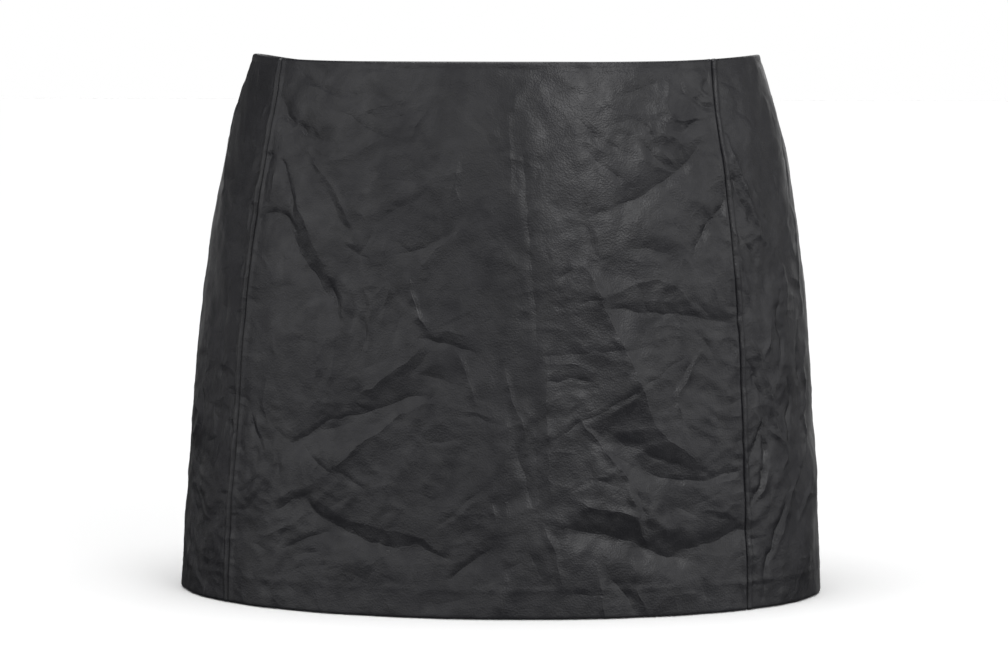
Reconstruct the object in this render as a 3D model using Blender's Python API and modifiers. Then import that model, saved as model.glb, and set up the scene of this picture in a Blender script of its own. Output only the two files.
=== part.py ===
"""Mini pencil skirt in coated cloth, in its worn form with nobody in it.

The front faces -Y and the wearer's left is +X. The origin is the centre of the waist opening,
level with its sides. A point of the cloth is named by its turn, the angle round from centre
front, and by its drop below the origin.
"""

import math

import bmesh
import bpy
import numpy as np

# Driving dimensions of the cloth, in metres
HEM_DROP = 0.388
LEAN = 0.0035
CLOTH = 0.0012
EDGE_RADIUS = 0.0016
HEM_TURN_UP = 0.020
WAIST_TURN_IN = 0.009
SEAM_GAP = 0.0004

# Height that the waist edge dips at centre front and at centre back
WAIST_DIP_FRONT = 0.0054
WAIST_DIP_BACK = 0.0090
WAIST_DIP_POWER = 5

# Angle of the princess seams from centre front, and from centre back
SEAM_ANGLE = math.radians(52.3)
SEAM_FLARE = math.radians(3.9)
SEAM_FLARE_DROP = 0.025

# Driving dimensions of the concealed zip
ZIP_LENGTH = 0.180
ZIP_SPREAD = 0.0011
ZIP_SPREAD_DROP = 0.018
TAPE_WIDTH = 0.0120
TAPE_INNER = 0.0026
TAPE_THICK = 0.0010
LAYER_GAP = 0.0005
CHAIN_WIDTH = 0.0044
CHAIN_THICK = 0.0016
SLIDER_BELOW_EDGE = 0.009
SLIDER_WIDTH = 0.0074
SLIDER_HEIGHT = 0.0100
SLIDER_THICK = 0.0030
NECK_WIDTH = 0.0012
NECK_HEIGHT = 0.0030
PIN_RADIUS = 0.00055
PIN_LENGTH = 0.0062
PIN_ABOVE_CLOTH = 0.0021
PULL_WIDTH = 0.0056
PULL_LENGTH = 0.0210
PULL_THICK = 0.0012
LUG_RADIUS = 0.0014
BORE_RADIUS = 0.00080
FORK_WIDTH = 0.0020
FORK_DEPTH = 0.0030
CLEARANCE = 0.0003

# Columns: drop, half width, depth of the front, depth of the back
SECTIONS = np.array([
    (0.000, 0.1832, 0.1370, 0.1370),
    (0.030, 0.1923, 0.1420, 0.1455),
    (0.060, 0.2004, 0.1463, 0.1535),
    (0.100, 0.2083, 0.1510, 0.1625),
    (0.150, 0.2160, 0.1552, 0.1710),
    (0.200, 0.2214, 0.1590, 0.1752),
    (0.260, 0.2257, 0.1638, 0.1765),
    (0.320, 0.2299, 0.1686, 0.1768),
    (0.360, 0.2321, 0.1712, 0.1770),
    (0.388, 0.2328, 0.1730, 0.1772),
])

# The largest folds: where each one starts and ends, in millimetres round from centre front or
# centre back and down from the waist, then its half width and its height, troughs below zero.
# Columns: centre, round 1, drop 1, round 2, drop 2, half width, height
FOLDS = [
    # Front panel, the wearer's right half
    ("front", -176, 116, -150, 112, 11, -0.8),
    ("front", -147, 126, -112, 168, 11, -1.5),
    ("front", -139, 106, -112, 150, 11, 0.9),
    ("front", -132, 80, -97, 126, 12, -0.7),
    ("front", -158, 42, -128, 60, 11, -1.0),
    ("front", -50, 141, -6, 114, 11, -0.5),
    ("front", -78, 232, -42, 204, 11, 0.9),
    ("front", -138, 272, -44, 240, 11, -1.2),
    ("front", -102, 282, -34, 242, 11, 1.2),
    ("front", -124, 318, -100, 329, 11, -1.2),
    ("front", -100, 330, -46, 340, 11, -1.9),
    ("front", -30, 325, 5, 296, 11, 0.5),
    ("front", -140, 345, -110, 333, 11, -0.7),
    ("front", -16, 361, 9, 343, 11, -0.7),
    # Front panel, the wearer's left half
    ("front", 46, 40, 50, 200, 24, 1.2),
    ("front", 52, 210, 62, 372, 24, 0.7),
    ("front", 152, 70, 86, 110, 11, -1.0),
    ("front", 84, 167, 132, 158, 11, 0.7),
    ("front", 90, 178, 184, 189, 11, -0.7),
    ("front", 82, 170, 106, 224, 17, 1.7),
    ("front", 108, 230, 150, 280, 17, 1.8),
    ("front", 54, 264, 142, 211, 11, 0.4),
    ("front", 84, 266, 130, 288, 13, -1.1),
    ("front", 92, 280, 114, 330, 11, 0.7),
    ("front", 122, 291, 190, 293, 11, -0.7),
    ("front", 70, 329, 112, 335, 11, -1.9),
    ("front", 112, 339, 138, 347, 11, -1.6),
    ("front", 138, 347, 196, 331, 11, -1.6),
    ("front", 98, 364, 110, 378, 11, -0.9),
    # Side panels
    ("front", 184, 80, 206, 122, 12, 1.1),
    ("front", 210, 262, 200, 306, 12, -1.0),
    ("front", 262, 176, 282, 262, 16, -1.3),
    ("front", 286, 300, 262, 362, 15, 1.9),
    ("front", -258, 214, -262, 262, 15, 1.5),
    ("front", -250, 286, -240, 334, 14, -1.4),
    ("front", -276, 330, -282, 380, 15, 0.5),
    ("front", -188, 314, -168, 298, 11, 0.7),
    ("back", 276, 140, 264, 226, 15, -1.4),
    ("back", -286, 150, -262, 232, 15, 1.4),
    # Back panels
    ("back", -214, 60, -150, 128, 14, 1.2),
    ("back", -196, 150, -110, 172, 12, -1.3),
    ("back", -150, 210, -66, 250, 14, 1.5),
    ("back", -206, 262, -128, 300, 12, -1.4),
    ("back", -118, 324, -76, 336, 11, -1.6),
    ("back", -76, 336, -36, 342, 12, -1.8),
    ("back", -70, 286, -20, 262, 12, 1.0),
    ("back", -34, 204, -78, 186, 12, -0.8),
    ("back", 220, 74, 158, 140, 14, 1.2),
    ("back", 190, 176, 100, 160, 12, -1.3),
    ("back", 168, 232, 72, 262, 14, 1.4),
    ("back", 210, 290, 126, 282, 12, -1.4),
    ("back", 122, 340, 30, 332, 12, -1.8),
    ("back", 60, 300, 24, 276, 12, 0.9),
    ("back", 30, 206, 70, 190, 12, 0.9),
]

# How finely each panel is divided, round and down
FRONT_COLUMNS = 32
SIDE_COLUMNS = 15
BACK_COLUMNS = 14
WALL_ROWS = 25
EDGE_STEPS = 3

# Looks of the materials: colour, roughness, metallic
COATED_CLOTH = ((0.036, 0.037, 0.039), 0.42, 0.0)
ZIP_TAPE = ((0.020, 0.020, 0.021), 0.85, 0.0)
ZIP_NYLON = ((0.025, 0.025, 0.026), 0.45, 0.0)
ZIP_METAL = ((0.045, 0.045, 0.047), 0.35, 0.8)

MM = 0.001
QUARTER = math.pi / 2


def section_value(drop, column):
    """One column of SECTIONS at any drop, on a smooth curve through its rows."""
    knots = SECTIONS[:, 0]
    values = SECTIONS[:, column]
    slopes = np.gradient(values, knots)
    drop = np.clip(drop, knots[0], knots[-1])
    row = np.clip(np.searchsorted(knots, drop) - 1, 0, len(knots) - 2)
    step = knots[row + 1] - knots[row]
    u = (drop - knots[row]) / step
    start = values[row] * (1 + 2 * u) * (1 - u) ** 2 + slopes[row] * step * u * (1 - u) ** 2
    end = values[row + 1] * u * u * (3 - 2 * u) - slopes[row + 1] * step * u * u * (1 - u)
    return start + end


def section_sizes(turn, drop):
    """Half width, and the depth on the side where the turn lies, front or back."""
    half_width = section_value(drop, 1)
    front = section_value(drop, 2)
    back = section_value(drop, 3)
    return half_width, np.where(np.cos(turn) > 0, front, back)


def smooth_form(turn, drop):
    """The cloth without its folds: two half ellipses, front and back, on one half width."""
    half_width, depth = section_sizes(turn, drop)
    x = half_width * np.sin(turn) - LEAN * drop / HEM_DROP
    y = -depth * np.cos(turn)
    return np.stack([x, y, -drop], axis=-1)


def outward(turn, drop):
    """Unit vector out of the cloth, from the form's slopes round it and down it."""
    step = 1e-4
    drop = np.clip(drop, step, HEM_DROP - step)
    round_it = smooth_form(turn + step, drop) - smooth_form(turn - step, drop)
    down_it = smooth_form(turn, drop + step) - smooth_form(turn, drop - step)
    normal = np.cross(down_it, round_it)
    return normal / np.linalg.norm(normal, axis=-1, keepdims=True)


def distance_round(turn, drop, centre):
    """Millimetres round the cloth from centre front or centre back, positive towards +X."""
    half_width, depth = section_sizes(turn, drop)
    front_depth = section_value(drop, 2)
    size = np.abs(turn)
    to_side = (half_width + front_depth) / 2 * QUARTER
    wave = (half_width - depth) / 4 * np.sin(2 * size)
    mean = (half_width + depth) / 2
    from_front = np.where(size < QUARTER, mean * size, to_side + mean * (size - QUARTER)) + wave
    if centre == "front":
        return np.sign(turn) * from_front / MM
    to_back = to_side + (half_width + section_value(drop, 3)) / 2 * QUARTER
    return np.sign(turn) * (to_back - from_front) / MM


def fold_height(turn, drop):
    """How far the folds lift the cloth: each is a soft bank round the line between its ends."""
    height = np.zeros(np.broadcast(turn, drop).shape)
    down = drop / MM
    for centre, round_1, drop_1, round_2, drop_2, half_width, peak in FOLDS:
        across = distance_round(turn, drop, centre) - round_1
        along = down - drop_1
        run = np.array([round_2 - round_1, drop_2 - drop_1], dtype=float)
        share = np.clip((across * run[0] + along * run[1]) / (run @ run), 0, 1)
        away = np.hypot(across - share * run[0], along - share * run[1])
        height += peak * np.exp(-(away / half_width) ** 2)
    return height * MM


def cloth_point(turn, drop, depth=0.0):
    """A point of the cloth, so far under its coated face."""
    normal = outward(turn, drop)
    lift = fold_height(turn, drop) - depth
    point = smooth_form(turn, np.clip(drop, 0, HEM_DROP))
    point[..., 2] = -drop
    return point + normal * lift[..., None]


def waist_drop(turn):
    """The waist edge: level at the sides, with a flat dip at centre front and centre back."""
    dip = np.where(np.cos(turn) > 0, WAIST_DIP_FRONT, WAIST_DIP_BACK)
    return dip * (1 - np.abs(np.sin(turn)) ** WAIST_DIP_POWER)


def seam_angle(drop):
    """Angle of a princess seam from centre front: constant below a short flare at the waist."""
    return SEAM_ANGLE + SEAM_FLARE * np.exp(-np.maximum(drop, 0) / SEAM_FLARE_DROP)


def zip_spread(drop):
    """Extra half gap at centre back, where the slider's neck parts the panels."""
    return ZIP_SPREAD * np.exp(-(drop - WAIST_DIP_BACK) / ZIP_SPREAD_DROP)


def as_angle(distance, turn, drop):
    """A small distance round the cloth as an angle."""
    half_width, depth = section_sizes(turn, drop)
    return distance / np.hypot(half_width * np.cos(turn), depth * np.sin(turn))


def wall_profile():
    """The cloth from the waist's turned edge down to the hem's, as (share of the wall, extra drop, depth)."""
    bend = np.linspace(0, math.pi, EDGE_STEPS + 1)
    rise = EDGE_RADIUS * (1 - np.sin(bend))
    depth = EDGE_RADIUS * (1 - np.cos(bend))
    rows = [(0.0, WAIST_TURN_IN, 2 * EDGE_RADIUS)]
    rows += [(0.0, extra, under) for extra, under in zip(rise[::-1], depth[::-1])]
    for share in np.linspace(0, 1, WALL_ROWS + 1)[1:-1]:
        rows.append((share, EDGE_RADIUS * (1 - 2 * share), 0.0))
    rows += [(1.0, -extra, under) for extra, under in zip(rise, depth)]
    rows.append((1.0, -HEM_TURN_UP, 2 * EDGE_RADIUS))
    return np.array(rows)


def panel_edges(name, drop):
    """The turns of a panel's two edges at each drop, half a seam gap in from the seam lines."""
    seam = seam_angle(drop)
    half_gap = as_angle(SEAM_GAP / 2, seam, drop)
    centre_gap = as_angle(SEAM_GAP / 2 + zip_spread(drop), math.pi, drop)
    return {
        "front_panel": (-seam + half_gap, seam - half_gap),
        "side_panel_left": (seam + half_gap, math.pi - seam - half_gap),
        "side_panel_right": (seam - math.pi + half_gap, -seam - half_gap),
        "back_panel_left": (math.pi - seam + half_gap, math.pi - centre_gap),
        "back_panel_right": (centre_gap - math.pi, seam - math.pi - half_gap),
    }[name]


def panel_points(name, columns):
    """Grid of a panel's coated face: columns between its edges, rows down its wall profile."""
    profile = wall_profile()
    share, extra, depth = profile[:, 0], profile[:, 1], profile[:, 2]
    across = np.linspace(0, 1, columns + 1)[None, :]
    nominal = share * HEM_DROP
    start, end = panel_edges(name, nominal)
    turn = start[:, None] * (1 - across) + end[:, None] * across
    edge = waist_drop(turn)
    drop = edge + (HEM_DROP - edge) * share[:, None] + extra[:, None]
    start, end = panel_edges(name, drop[:, 0])[0], panel_edges(name, drop[:, -1])[1]
    turn = start[:, None] * (1 - across) + end[:, None] * across
    return turn, drop, cloth_point(turn, drop, np.broadcast_to(depth[:, None], turn.shape))


def grid_mesh(name, points, keep=None):
    """A mesh over a grid of points, with its faces' fronts towards the side the grid turns to."""
    rows, columns = points.shape[:2]
    number = np.arange(rows * columns).reshape(rows, columns)
    quads = np.stack([number[:-1, :-1], number[1:, :-1], number[1:, 1:], number[:-1, 1:]], axis=-1)
    if keep is None:
        keep = np.ones(quads.shape[:2], dtype=bool)
    used = quads[keep]
    corner, inverse = np.unique(used, return_inverse=True)
    mesh = bpy.data.meshes.new(name)
    vertices = points.reshape(-1, 3)[corner]
    mesh.from_pydata(vertices.tolist(), [], inverse.reshape(used.shape).tolist())
    mesh.validate()
    mesh.shade_smooth()
    return mesh


def new_material(name, look):
    colour, roughness, metallic = look
    material = bpy.data.materials.new(name)
    material.use_nodes = True
    shader = material.node_tree.nodes["Principled BSDF"]
    shader.inputs["Base Color"].default_value = (*colour, 1.0)
    shader.inputs["Roughness"].default_value = roughness
    shader.inputs["Metallic"].default_value = metallic
    return material


def add_object(name, mesh, collection, look=None):
    """An object for a mesh, with its own material where a look is given."""
    part = bpy.data.objects.new(name, mesh)
    collection.objects.link(part)
    if look:
        mesh.materials.clear()
        mesh.materials.append(new_material(name + " material", look))
    return part


def add_wall(part, thickness):
    """Gives an open surface its thickness, under its outer face."""
    wall = part.modifiers.new("Wall", "SOLIDIFY")
    wall.thickness = thickness
    wall.offset = -1.0
    wall.use_even_offset = True
    wall.use_quality_normals = True


def make_panel(name, columns, collection):
    """One cut piece of cloth with its turned waist edge and turned-up hem."""
    turn, drop, points = panel_points(name, columns)
    keep = np.ones((len(points) - 1, columns), dtype=bool)
    if name.startswith("back"):
        from_centre = np.abs(distance_round(turn, drop, "back")) * MM
        clear_of_tape = TAPE_INNER + TAPE_WIDTH + CLEARANCE
        keep[0] = np.minimum(from_centre[0, :-1], from_centre[0, 1:]) > clear_of_tape
    part = add_object(name, grid_mesh(name, points, keep), collection, COATED_CLOTH)
    add_wall(part, CLOTH)
    return part


def zip_rows(top, bottom):
    """Drops of the back panels' own rows between two drops, with both ends."""
    share = np.linspace(0, 1, WALL_ROWS + 1)
    edge = WAIST_DIP_BACK
    rows = edge + (HEM_DROP - edge) * share + EDGE_RADIUS * (1 - 2 * share)
    inside = rows[(rows > top + CLEARANCE) & (rows < bottom - CLEARANCE)]
    return np.concatenate([[top], inside, [bottom]])


def make_zip_strip(name, x_start, x_end, depth, thickness, top, bottom, collection, look):
    """A flat strip behind the centre back seam, between two distances to the side of it."""
    drop = zip_rows(top, bottom)[:, None]
    x = np.linspace(x_start, x_end, 3)[None, :]
    turn = math.pi - np.arcsin(x / section_value(drop, 1))
    points = cloth_point(turn, np.broadcast_to(drop, turn.shape), np.full(turn.shape, depth))
    part = add_object(name, grid_mesh(name, points[:, ::-1]), collection, look)
    add_wall(part, thickness)
    return part


def cloth_slope_at_slider():
    """The slider's place on the coated face at centre back, and the cloth's slope there."""
    drop = np.array(WAIST_DIP_BACK + SLIDER_BELOW_EDGE)
    turn = np.array(math.pi)
    place = cloth_point(turn, drop)
    normal = outward(turn, drop)
    return place, math.atan2(normal[2], normal[1])


def box_mesh(name, size, centre):
    builder = bmesh.new()
    bmesh.ops.create_cube(builder, size=1.0)
    bmesh.ops.scale(builder, vec=size, verts=builder.verts)
    bmesh.ops.translate(builder, vec=centre, verts=builder.verts)
    mesh = bpy.data.meshes.new(name)
    builder.to_mesh(mesh)
    builder.free()
    return mesh


def rod_mesh(name, radius, length, sides):
    """A rod along X through the origin."""
    builder = bmesh.new()
    bmesh.ops.create_cone(
        builder, cap_ends=True, segments=sides, radius1=radius, radius2=radius, depth=length
    )
    builder.verts.ensure_lookup_table()
    for vertex in builder.verts:
        vertex.co = (vertex.co.z, vertex.co.y, -vertex.co.x)
    mesh = bpy.data.meshes.new(name)
    builder.to_mesh(mesh)
    builder.free()
    return mesh


def add_cutter(name, mesh, collection, parent):
    cutter = add_object(name, mesh, collection)
    cutter.parent = parent
    cutter.hide_render = True
    cutter.display_type = "WIRE"
    return cutter


def add_boolean(part, cutter, operation):
    step = part.modifiers.new(cutter.name, "BOOLEAN")
    step.operation = operation
    step.object = cutter


def make_slider(frame, collection, cutters):
    """The slider's body inside the skirt, its neck through the seam and its cross pin outside."""
    body_outer = CLOTH + 2 * LAYER_GAP + TAPE_THICK
    body_centre = -PIN_ABOVE_CLOTH - body_outer - SLIDER_THICK / 2
    size = (SLIDER_WIDTH, SLIDER_THICK, SLIDER_HEIGHT)
    body = add_object(
        "zip_slider", box_mesh("zip_slider", size, (0, body_centre, 0)), collection, ZIP_METAL
    )
    body.parent = frame
    edges = body.modifiers.new("Round edges", "BEVEL")
    edges.width = SLIDER_THICK / 4
    edges.segments = 2
    neck_inner = body_centre
    neck_outer = PIN_RADIUS * 2
    neck_size = (NECK_WIDTH, neck_outer - neck_inner, NECK_HEIGHT)
    neck_centre = (0, (neck_outer + neck_inner) / 2, 0)
    neck = add_cutter("neck", box_mesh("neck", neck_size, neck_centre), cutters, frame)
    pin = add_cutter("cross pin", rod_mesh("cross pin", PIN_RADIUS, PIN_LENGTH, 12), cutters, frame)
    add_boolean(body, neck, "UNION")
    add_boolean(body, pin, "UNION")
    return body


def pull_outline():
    """The pull tab's flat outline: a waist under the fork, then a swell to a round foot."""
    half = PULL_WIDTH / 2
    foot = PULL_LENGTH - half
    side = [(half, 0.0), (half, -1.2 * FORK_DEPTH), (0.62 * half, -2.2 * FORK_DEPTH)]
    arc = np.linspace(0, math.pi, 11)
    round_foot = [(half * math.cos(a), -foot - half * math.sin(a)) for a in arc]
    return side + round_foot + [(-x, z) for x, z in reversed(side)]


def make_pull(frame, collection, cutters):
    """The pull tab: a forked plate whose two lugs turn on the slider's cross pin."""
    outline = pull_outline()
    builder = bmesh.new()
    inner = -PIN_ABOVE_CLOTH + 2 * CLEARANCE
    ring = [builder.verts.new((x, inner, z)) for x, z in outline]
    face = builder.faces.new(ring)
    lifted = bmesh.ops.extrude_face_region(builder, geom=[face])["geom"]
    moved = [item for item in lifted if isinstance(item, bmesh.types.BMVert)]
    bmesh.ops.translate(builder, vec=(0, PULL_THICK, 0), verts=moved)
    bmesh.ops.recalc_face_normals(builder, faces=builder.faces)
    mesh = bpy.data.meshes.new("zip_pull")
    builder.to_mesh(mesh)
    builder.free()
    pull = add_object("zip_pull", mesh, collection, ZIP_METAL)
    pull.parent = frame
    lug = add_cutter("lugs", rod_mesh("lugs", LUG_RADIUS, PULL_WIDTH, 16), cutters, frame)
    fork_size = (FORK_WIDTH, 4 * LUG_RADIUS, FORK_DEPTH + 2 * LUG_RADIUS)
    fork_centre = (0, 0, LUG_RADIUS - FORK_DEPTH / 2)
    fork = add_cutter("fork", box_mesh("fork", fork_size, fork_centre), cutters, frame)
    bore = add_cutter("bore", rod_mesh("bore", BORE_RADIUS, 2 * PULL_WIDTH, 12), cutters, frame)
    add_boolean(pull, lug, "UNION")
    add_boolean(pull, fork, "DIFFERENCE")
    add_boolean(pull, bore, "DIFFERENCE")
    return pull


def make_zip(collection, cutters):
    """The concealed zip, closed, in the upper part of the centre back seam."""
    tape_top = WAIST_DIP_BACK + 2 * EDGE_RADIUS
    tape_bottom = WAIST_DIP_BACK + ZIP_LENGTH + TAPE_WIDTH
    tape_depth = CLOTH + LAYER_GAP
    tape_outer = TAPE_INNER + TAPE_WIDTH
    for name, side in (("zip_tape_left", 1), ("zip_tape_right", -1)):
        ends = sorted((side * TAPE_INNER, side * tape_outer))
        make_zip_strip(
            name, *ends, tape_depth, TAPE_THICK, tape_top, tape_bottom, collection, ZIP_TAPE
        )
    slider_drop = WAIST_DIP_BACK + SLIDER_BELOW_EDGE
    chain_top = slider_drop + SLIDER_HEIGHT / 2 + CLEARANCE
    chain_bottom = WAIST_DIP_BACK + ZIP_LENGTH
    chain_depth = tape_depth + TAPE_THICK + LAYER_GAP
    half_chain = CHAIN_WIDTH / 2
    make_zip_strip(
        "zip_chain", -half_chain, half_chain, chain_depth, CHAIN_THICK,
        chain_top, chain_bottom, collection, ZIP_NYLON,
    )
    half_stop = half_chain + CLEARANCE
    stop_top = chain_bottom + CLEARANCE
    make_zip_strip(
        "zip_stop", -half_stop, half_stop, chain_depth, CHAIN_THICK + CLEARANCE,
        stop_top, stop_top + CHAIN_WIDTH, collection, ZIP_METAL,
    )
    place, slope = cloth_slope_at_slider()
    frame = bpy.data.objects.new("pin axis", None)
    collection.objects.link(frame)
    out = np.array([0.0, math.cos(slope), math.sin(slope)])
    frame.location = place + out * PIN_ABOVE_CLOTH
    frame.rotation_euler = (slope, 0, 0)
    make_slider(frame, collection, cutters)
    make_pull(frame, collection, cutters)


def main():
    for item in list(bpy.data.objects):
        bpy.data.objects.remove(item)
    skirt = bpy.data.collections.new("Mini pencil skirt")
    cutters = bpy.data.collections.new("Cutters")
    bpy.context.scene.collection.children.link(skirt)
    bpy.context.scene.collection.children.link(cutters)
    make_panel("front_panel", FRONT_COLUMNS, skirt)
    for side in ("left", "right"):
        make_panel("side_panel_" + side, SIDE_COLUMNS, skirt)
        make_panel("back_panel_" + side, BACK_COLUMNS, skirt)
    make_zip(skirt, cutters)


main()
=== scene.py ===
"""Mini pencil skirt in coated cloth: creased panels, their sewing, the zip and a plain studio.

The front faces -Y and the wearer's left is +X. The origin is the centre of the waist opening,
level with its sides. A point of the cloth is named by its turn, the angle round from centre
front, and by its drop below the origin, as in the solids.
"""

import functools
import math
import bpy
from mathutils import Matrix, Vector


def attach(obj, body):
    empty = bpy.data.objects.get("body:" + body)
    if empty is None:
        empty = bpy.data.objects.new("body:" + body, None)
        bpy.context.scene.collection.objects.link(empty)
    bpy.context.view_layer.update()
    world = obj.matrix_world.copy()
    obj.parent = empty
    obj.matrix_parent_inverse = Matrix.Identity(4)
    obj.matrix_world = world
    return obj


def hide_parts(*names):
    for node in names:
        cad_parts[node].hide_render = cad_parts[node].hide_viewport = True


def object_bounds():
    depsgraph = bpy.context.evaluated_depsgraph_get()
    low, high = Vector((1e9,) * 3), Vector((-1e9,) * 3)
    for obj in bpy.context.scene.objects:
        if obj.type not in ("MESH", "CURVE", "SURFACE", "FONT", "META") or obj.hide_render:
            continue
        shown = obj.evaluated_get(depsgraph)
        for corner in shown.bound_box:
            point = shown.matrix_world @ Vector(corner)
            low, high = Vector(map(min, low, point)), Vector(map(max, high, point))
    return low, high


bl_info = {
    "name": "Mini Pencil Skirt",
    "version": (1, 0, 0),
    "blender": (4, 5, 0),
    "location": "View3D > Sidebar > Skirt",
    "description": "Creased coated cloth panels, seams, hem and zip for a mini pencil skirt",
    "category": "Object",
}

import bpy
import numpy as np
from bpy.props import FloatProperty, PointerProperty, StringProperty
from mathutils import Matrix, Vector

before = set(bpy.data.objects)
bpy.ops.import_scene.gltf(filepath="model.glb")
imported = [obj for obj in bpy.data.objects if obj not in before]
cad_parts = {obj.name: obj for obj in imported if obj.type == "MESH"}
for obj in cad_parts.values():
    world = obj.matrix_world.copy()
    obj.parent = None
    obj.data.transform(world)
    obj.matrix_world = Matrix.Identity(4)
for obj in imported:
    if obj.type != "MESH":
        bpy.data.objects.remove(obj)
CAD_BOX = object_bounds()

MM = 0.001
QUARTER = math.pi / 2

# The cloth's form, as in the solids, in metres
HEM_DROP = 0.388
LEAN = 0.0035
WAIST_DIP_FRONT = 0.0054
WAIST_DIP_BACK = 0.0090
WAIST_DIP_POWER = 5
SEAM_ANGLE = math.radians(52.3)
SEAM_FLARE = math.radians(3.9)
SEAM_FLARE_DROP = 0.025

# Columns: drop, half width, depth of the front, depth of the back
SECTIONS = np.array([
    (0.000, 0.1832, 0.1370, 0.1370),
    (0.030, 0.1923, 0.1420, 0.1455),
    (0.060, 0.2004, 0.1463, 0.1535),
    (0.100, 0.2083, 0.1510, 0.1625),
    (0.150, 0.2160, 0.1552, 0.1710),
    (0.200, 0.2214, 0.1590, 0.1752),
    (0.260, 0.2257, 0.1638, 0.1765),
    (0.320, 0.2299, 0.1686, 0.1768),
    (0.360, 0.2321, 0.1712, 0.1770),
    (0.388, 0.2328, 0.1730, 0.1772),
])

# The largest folds, as in the solids: where each one starts and ends, in millimetres round from
# centre front or centre back and down from the waist, then its half width and its height
# Columns: centre, round 1, drop 1, round 2, drop 2, half width, height
FOLDS = [
    # Front panel, the wearer's right half
    ("front", -176, 116, -150, 112, 11, -0.8),
    ("front", -147, 126, -112, 168, 11, -1.5),
    ("front", -139, 106, -112, 150, 11, 0.9),
    ("front", -132, 80, -97, 126, 12, -0.7),
    ("front", -158, 42, -128, 60, 11, -1.0),
    ("front", -50, 141, -6, 114, 11, -0.5),
    ("front", -78, 232, -42, 204, 11, 0.9),
    ("front", -138, 272, -44, 240, 11, -1.2),
    ("front", -102, 282, -34, 242, 11, 1.2),
    ("front", -124, 318, -100, 329, 11, -1.2),
    ("front", -100, 330, -46, 340, 11, -1.9),
    ("front", -30, 325, 5, 296, 11, 0.5),
    ("front", -140, 345, -110, 333, 11, -0.7),
    ("front", -16, 361, 9, 343, 11, -0.7),
    # Front panel, the wearer's left half
    ("front", 46, 40, 50, 200, 24, 1.2),
    ("front", 52, 210, 62, 372, 24, 0.7),
    ("front", 152, 70, 86, 110, 11, -1.0),
    ("front", 84, 167, 132, 158, 11, 0.7),
    ("front", 90, 178, 184, 189, 11, -0.7),
    ("front", 82, 170, 106, 224, 17, 1.7),
    ("front", 108, 230, 150, 280, 17, 1.8),
    ("front", 54, 264, 142, 211, 11, 0.4),
    ("front", 84, 266, 130, 288, 13, -1.1),
    ("front", 92, 280, 114, 330, 11, 0.7),
    ("front", 122, 291, 190, 293, 11, -0.7),
    ("front", 70, 329, 112, 335, 11, -1.9),
    ("front", 112, 339, 138, 347, 11, -1.6),
    ("front", 138, 347, 196, 331, 11, -1.6),
    ("front", 98, 364, 110, 378, 11, -0.9),
    # Side panels
    ("front", 184, 80, 206, 122, 12, 1.1),
    ("front", 210, 262, 200, 306, 12, -1.0),
    ("front", 262, 176, 282, 262, 16, -1.3),
    ("front", 286, 300, 262, 362, 15, 1.9),
    ("front", -258, 214, -262, 262, 15, 1.5),
    ("front", -250, 286, -240, 334, 14, -1.4),
    ("front", -276, 330, -282, 380, 15, 0.5),
    ("front", -188, 314, -168, 298, 11, 0.7),
    ("back", 276, 140, 264, 226, 15, -1.4),
    ("back", -286, 150, -262, 232, 15, 1.4),
    # Back panels
    ("back", -214, 60, -150, 128, 14, 1.2),
    ("back", -196, 150, -110, 172, 12, -1.3),
    ("back", -150, 210, -66, 250, 14, 1.5),
    ("back", -206, 262, -128, 300, 12, -1.4),
    ("back", -118, 324, -76, 336, 11, -1.6),
    ("back", -76, 336, -36, 342, 12, -1.8),
    ("back", -70, 286, -20, 262, 12, 1.0),
    ("back", -34, 204, -78, 186, 12, -0.8),
    ("back", 220, 74, 158, 140, 14, 1.2),
    ("back", 190, 176, 100, 160, 12, -1.3),
    ("back", 168, 232, 72, 262, 14, 1.4),
    ("back", 210, 290, 126, 282, 12, -1.4),
    ("back", 122, 340, 30, 332, 12, -1.8),
    ("back", 60, 300, 24, 276, 12, 0.9),
    ("back", 30, 206, 70, 190, 12, 0.9),
]

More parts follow.
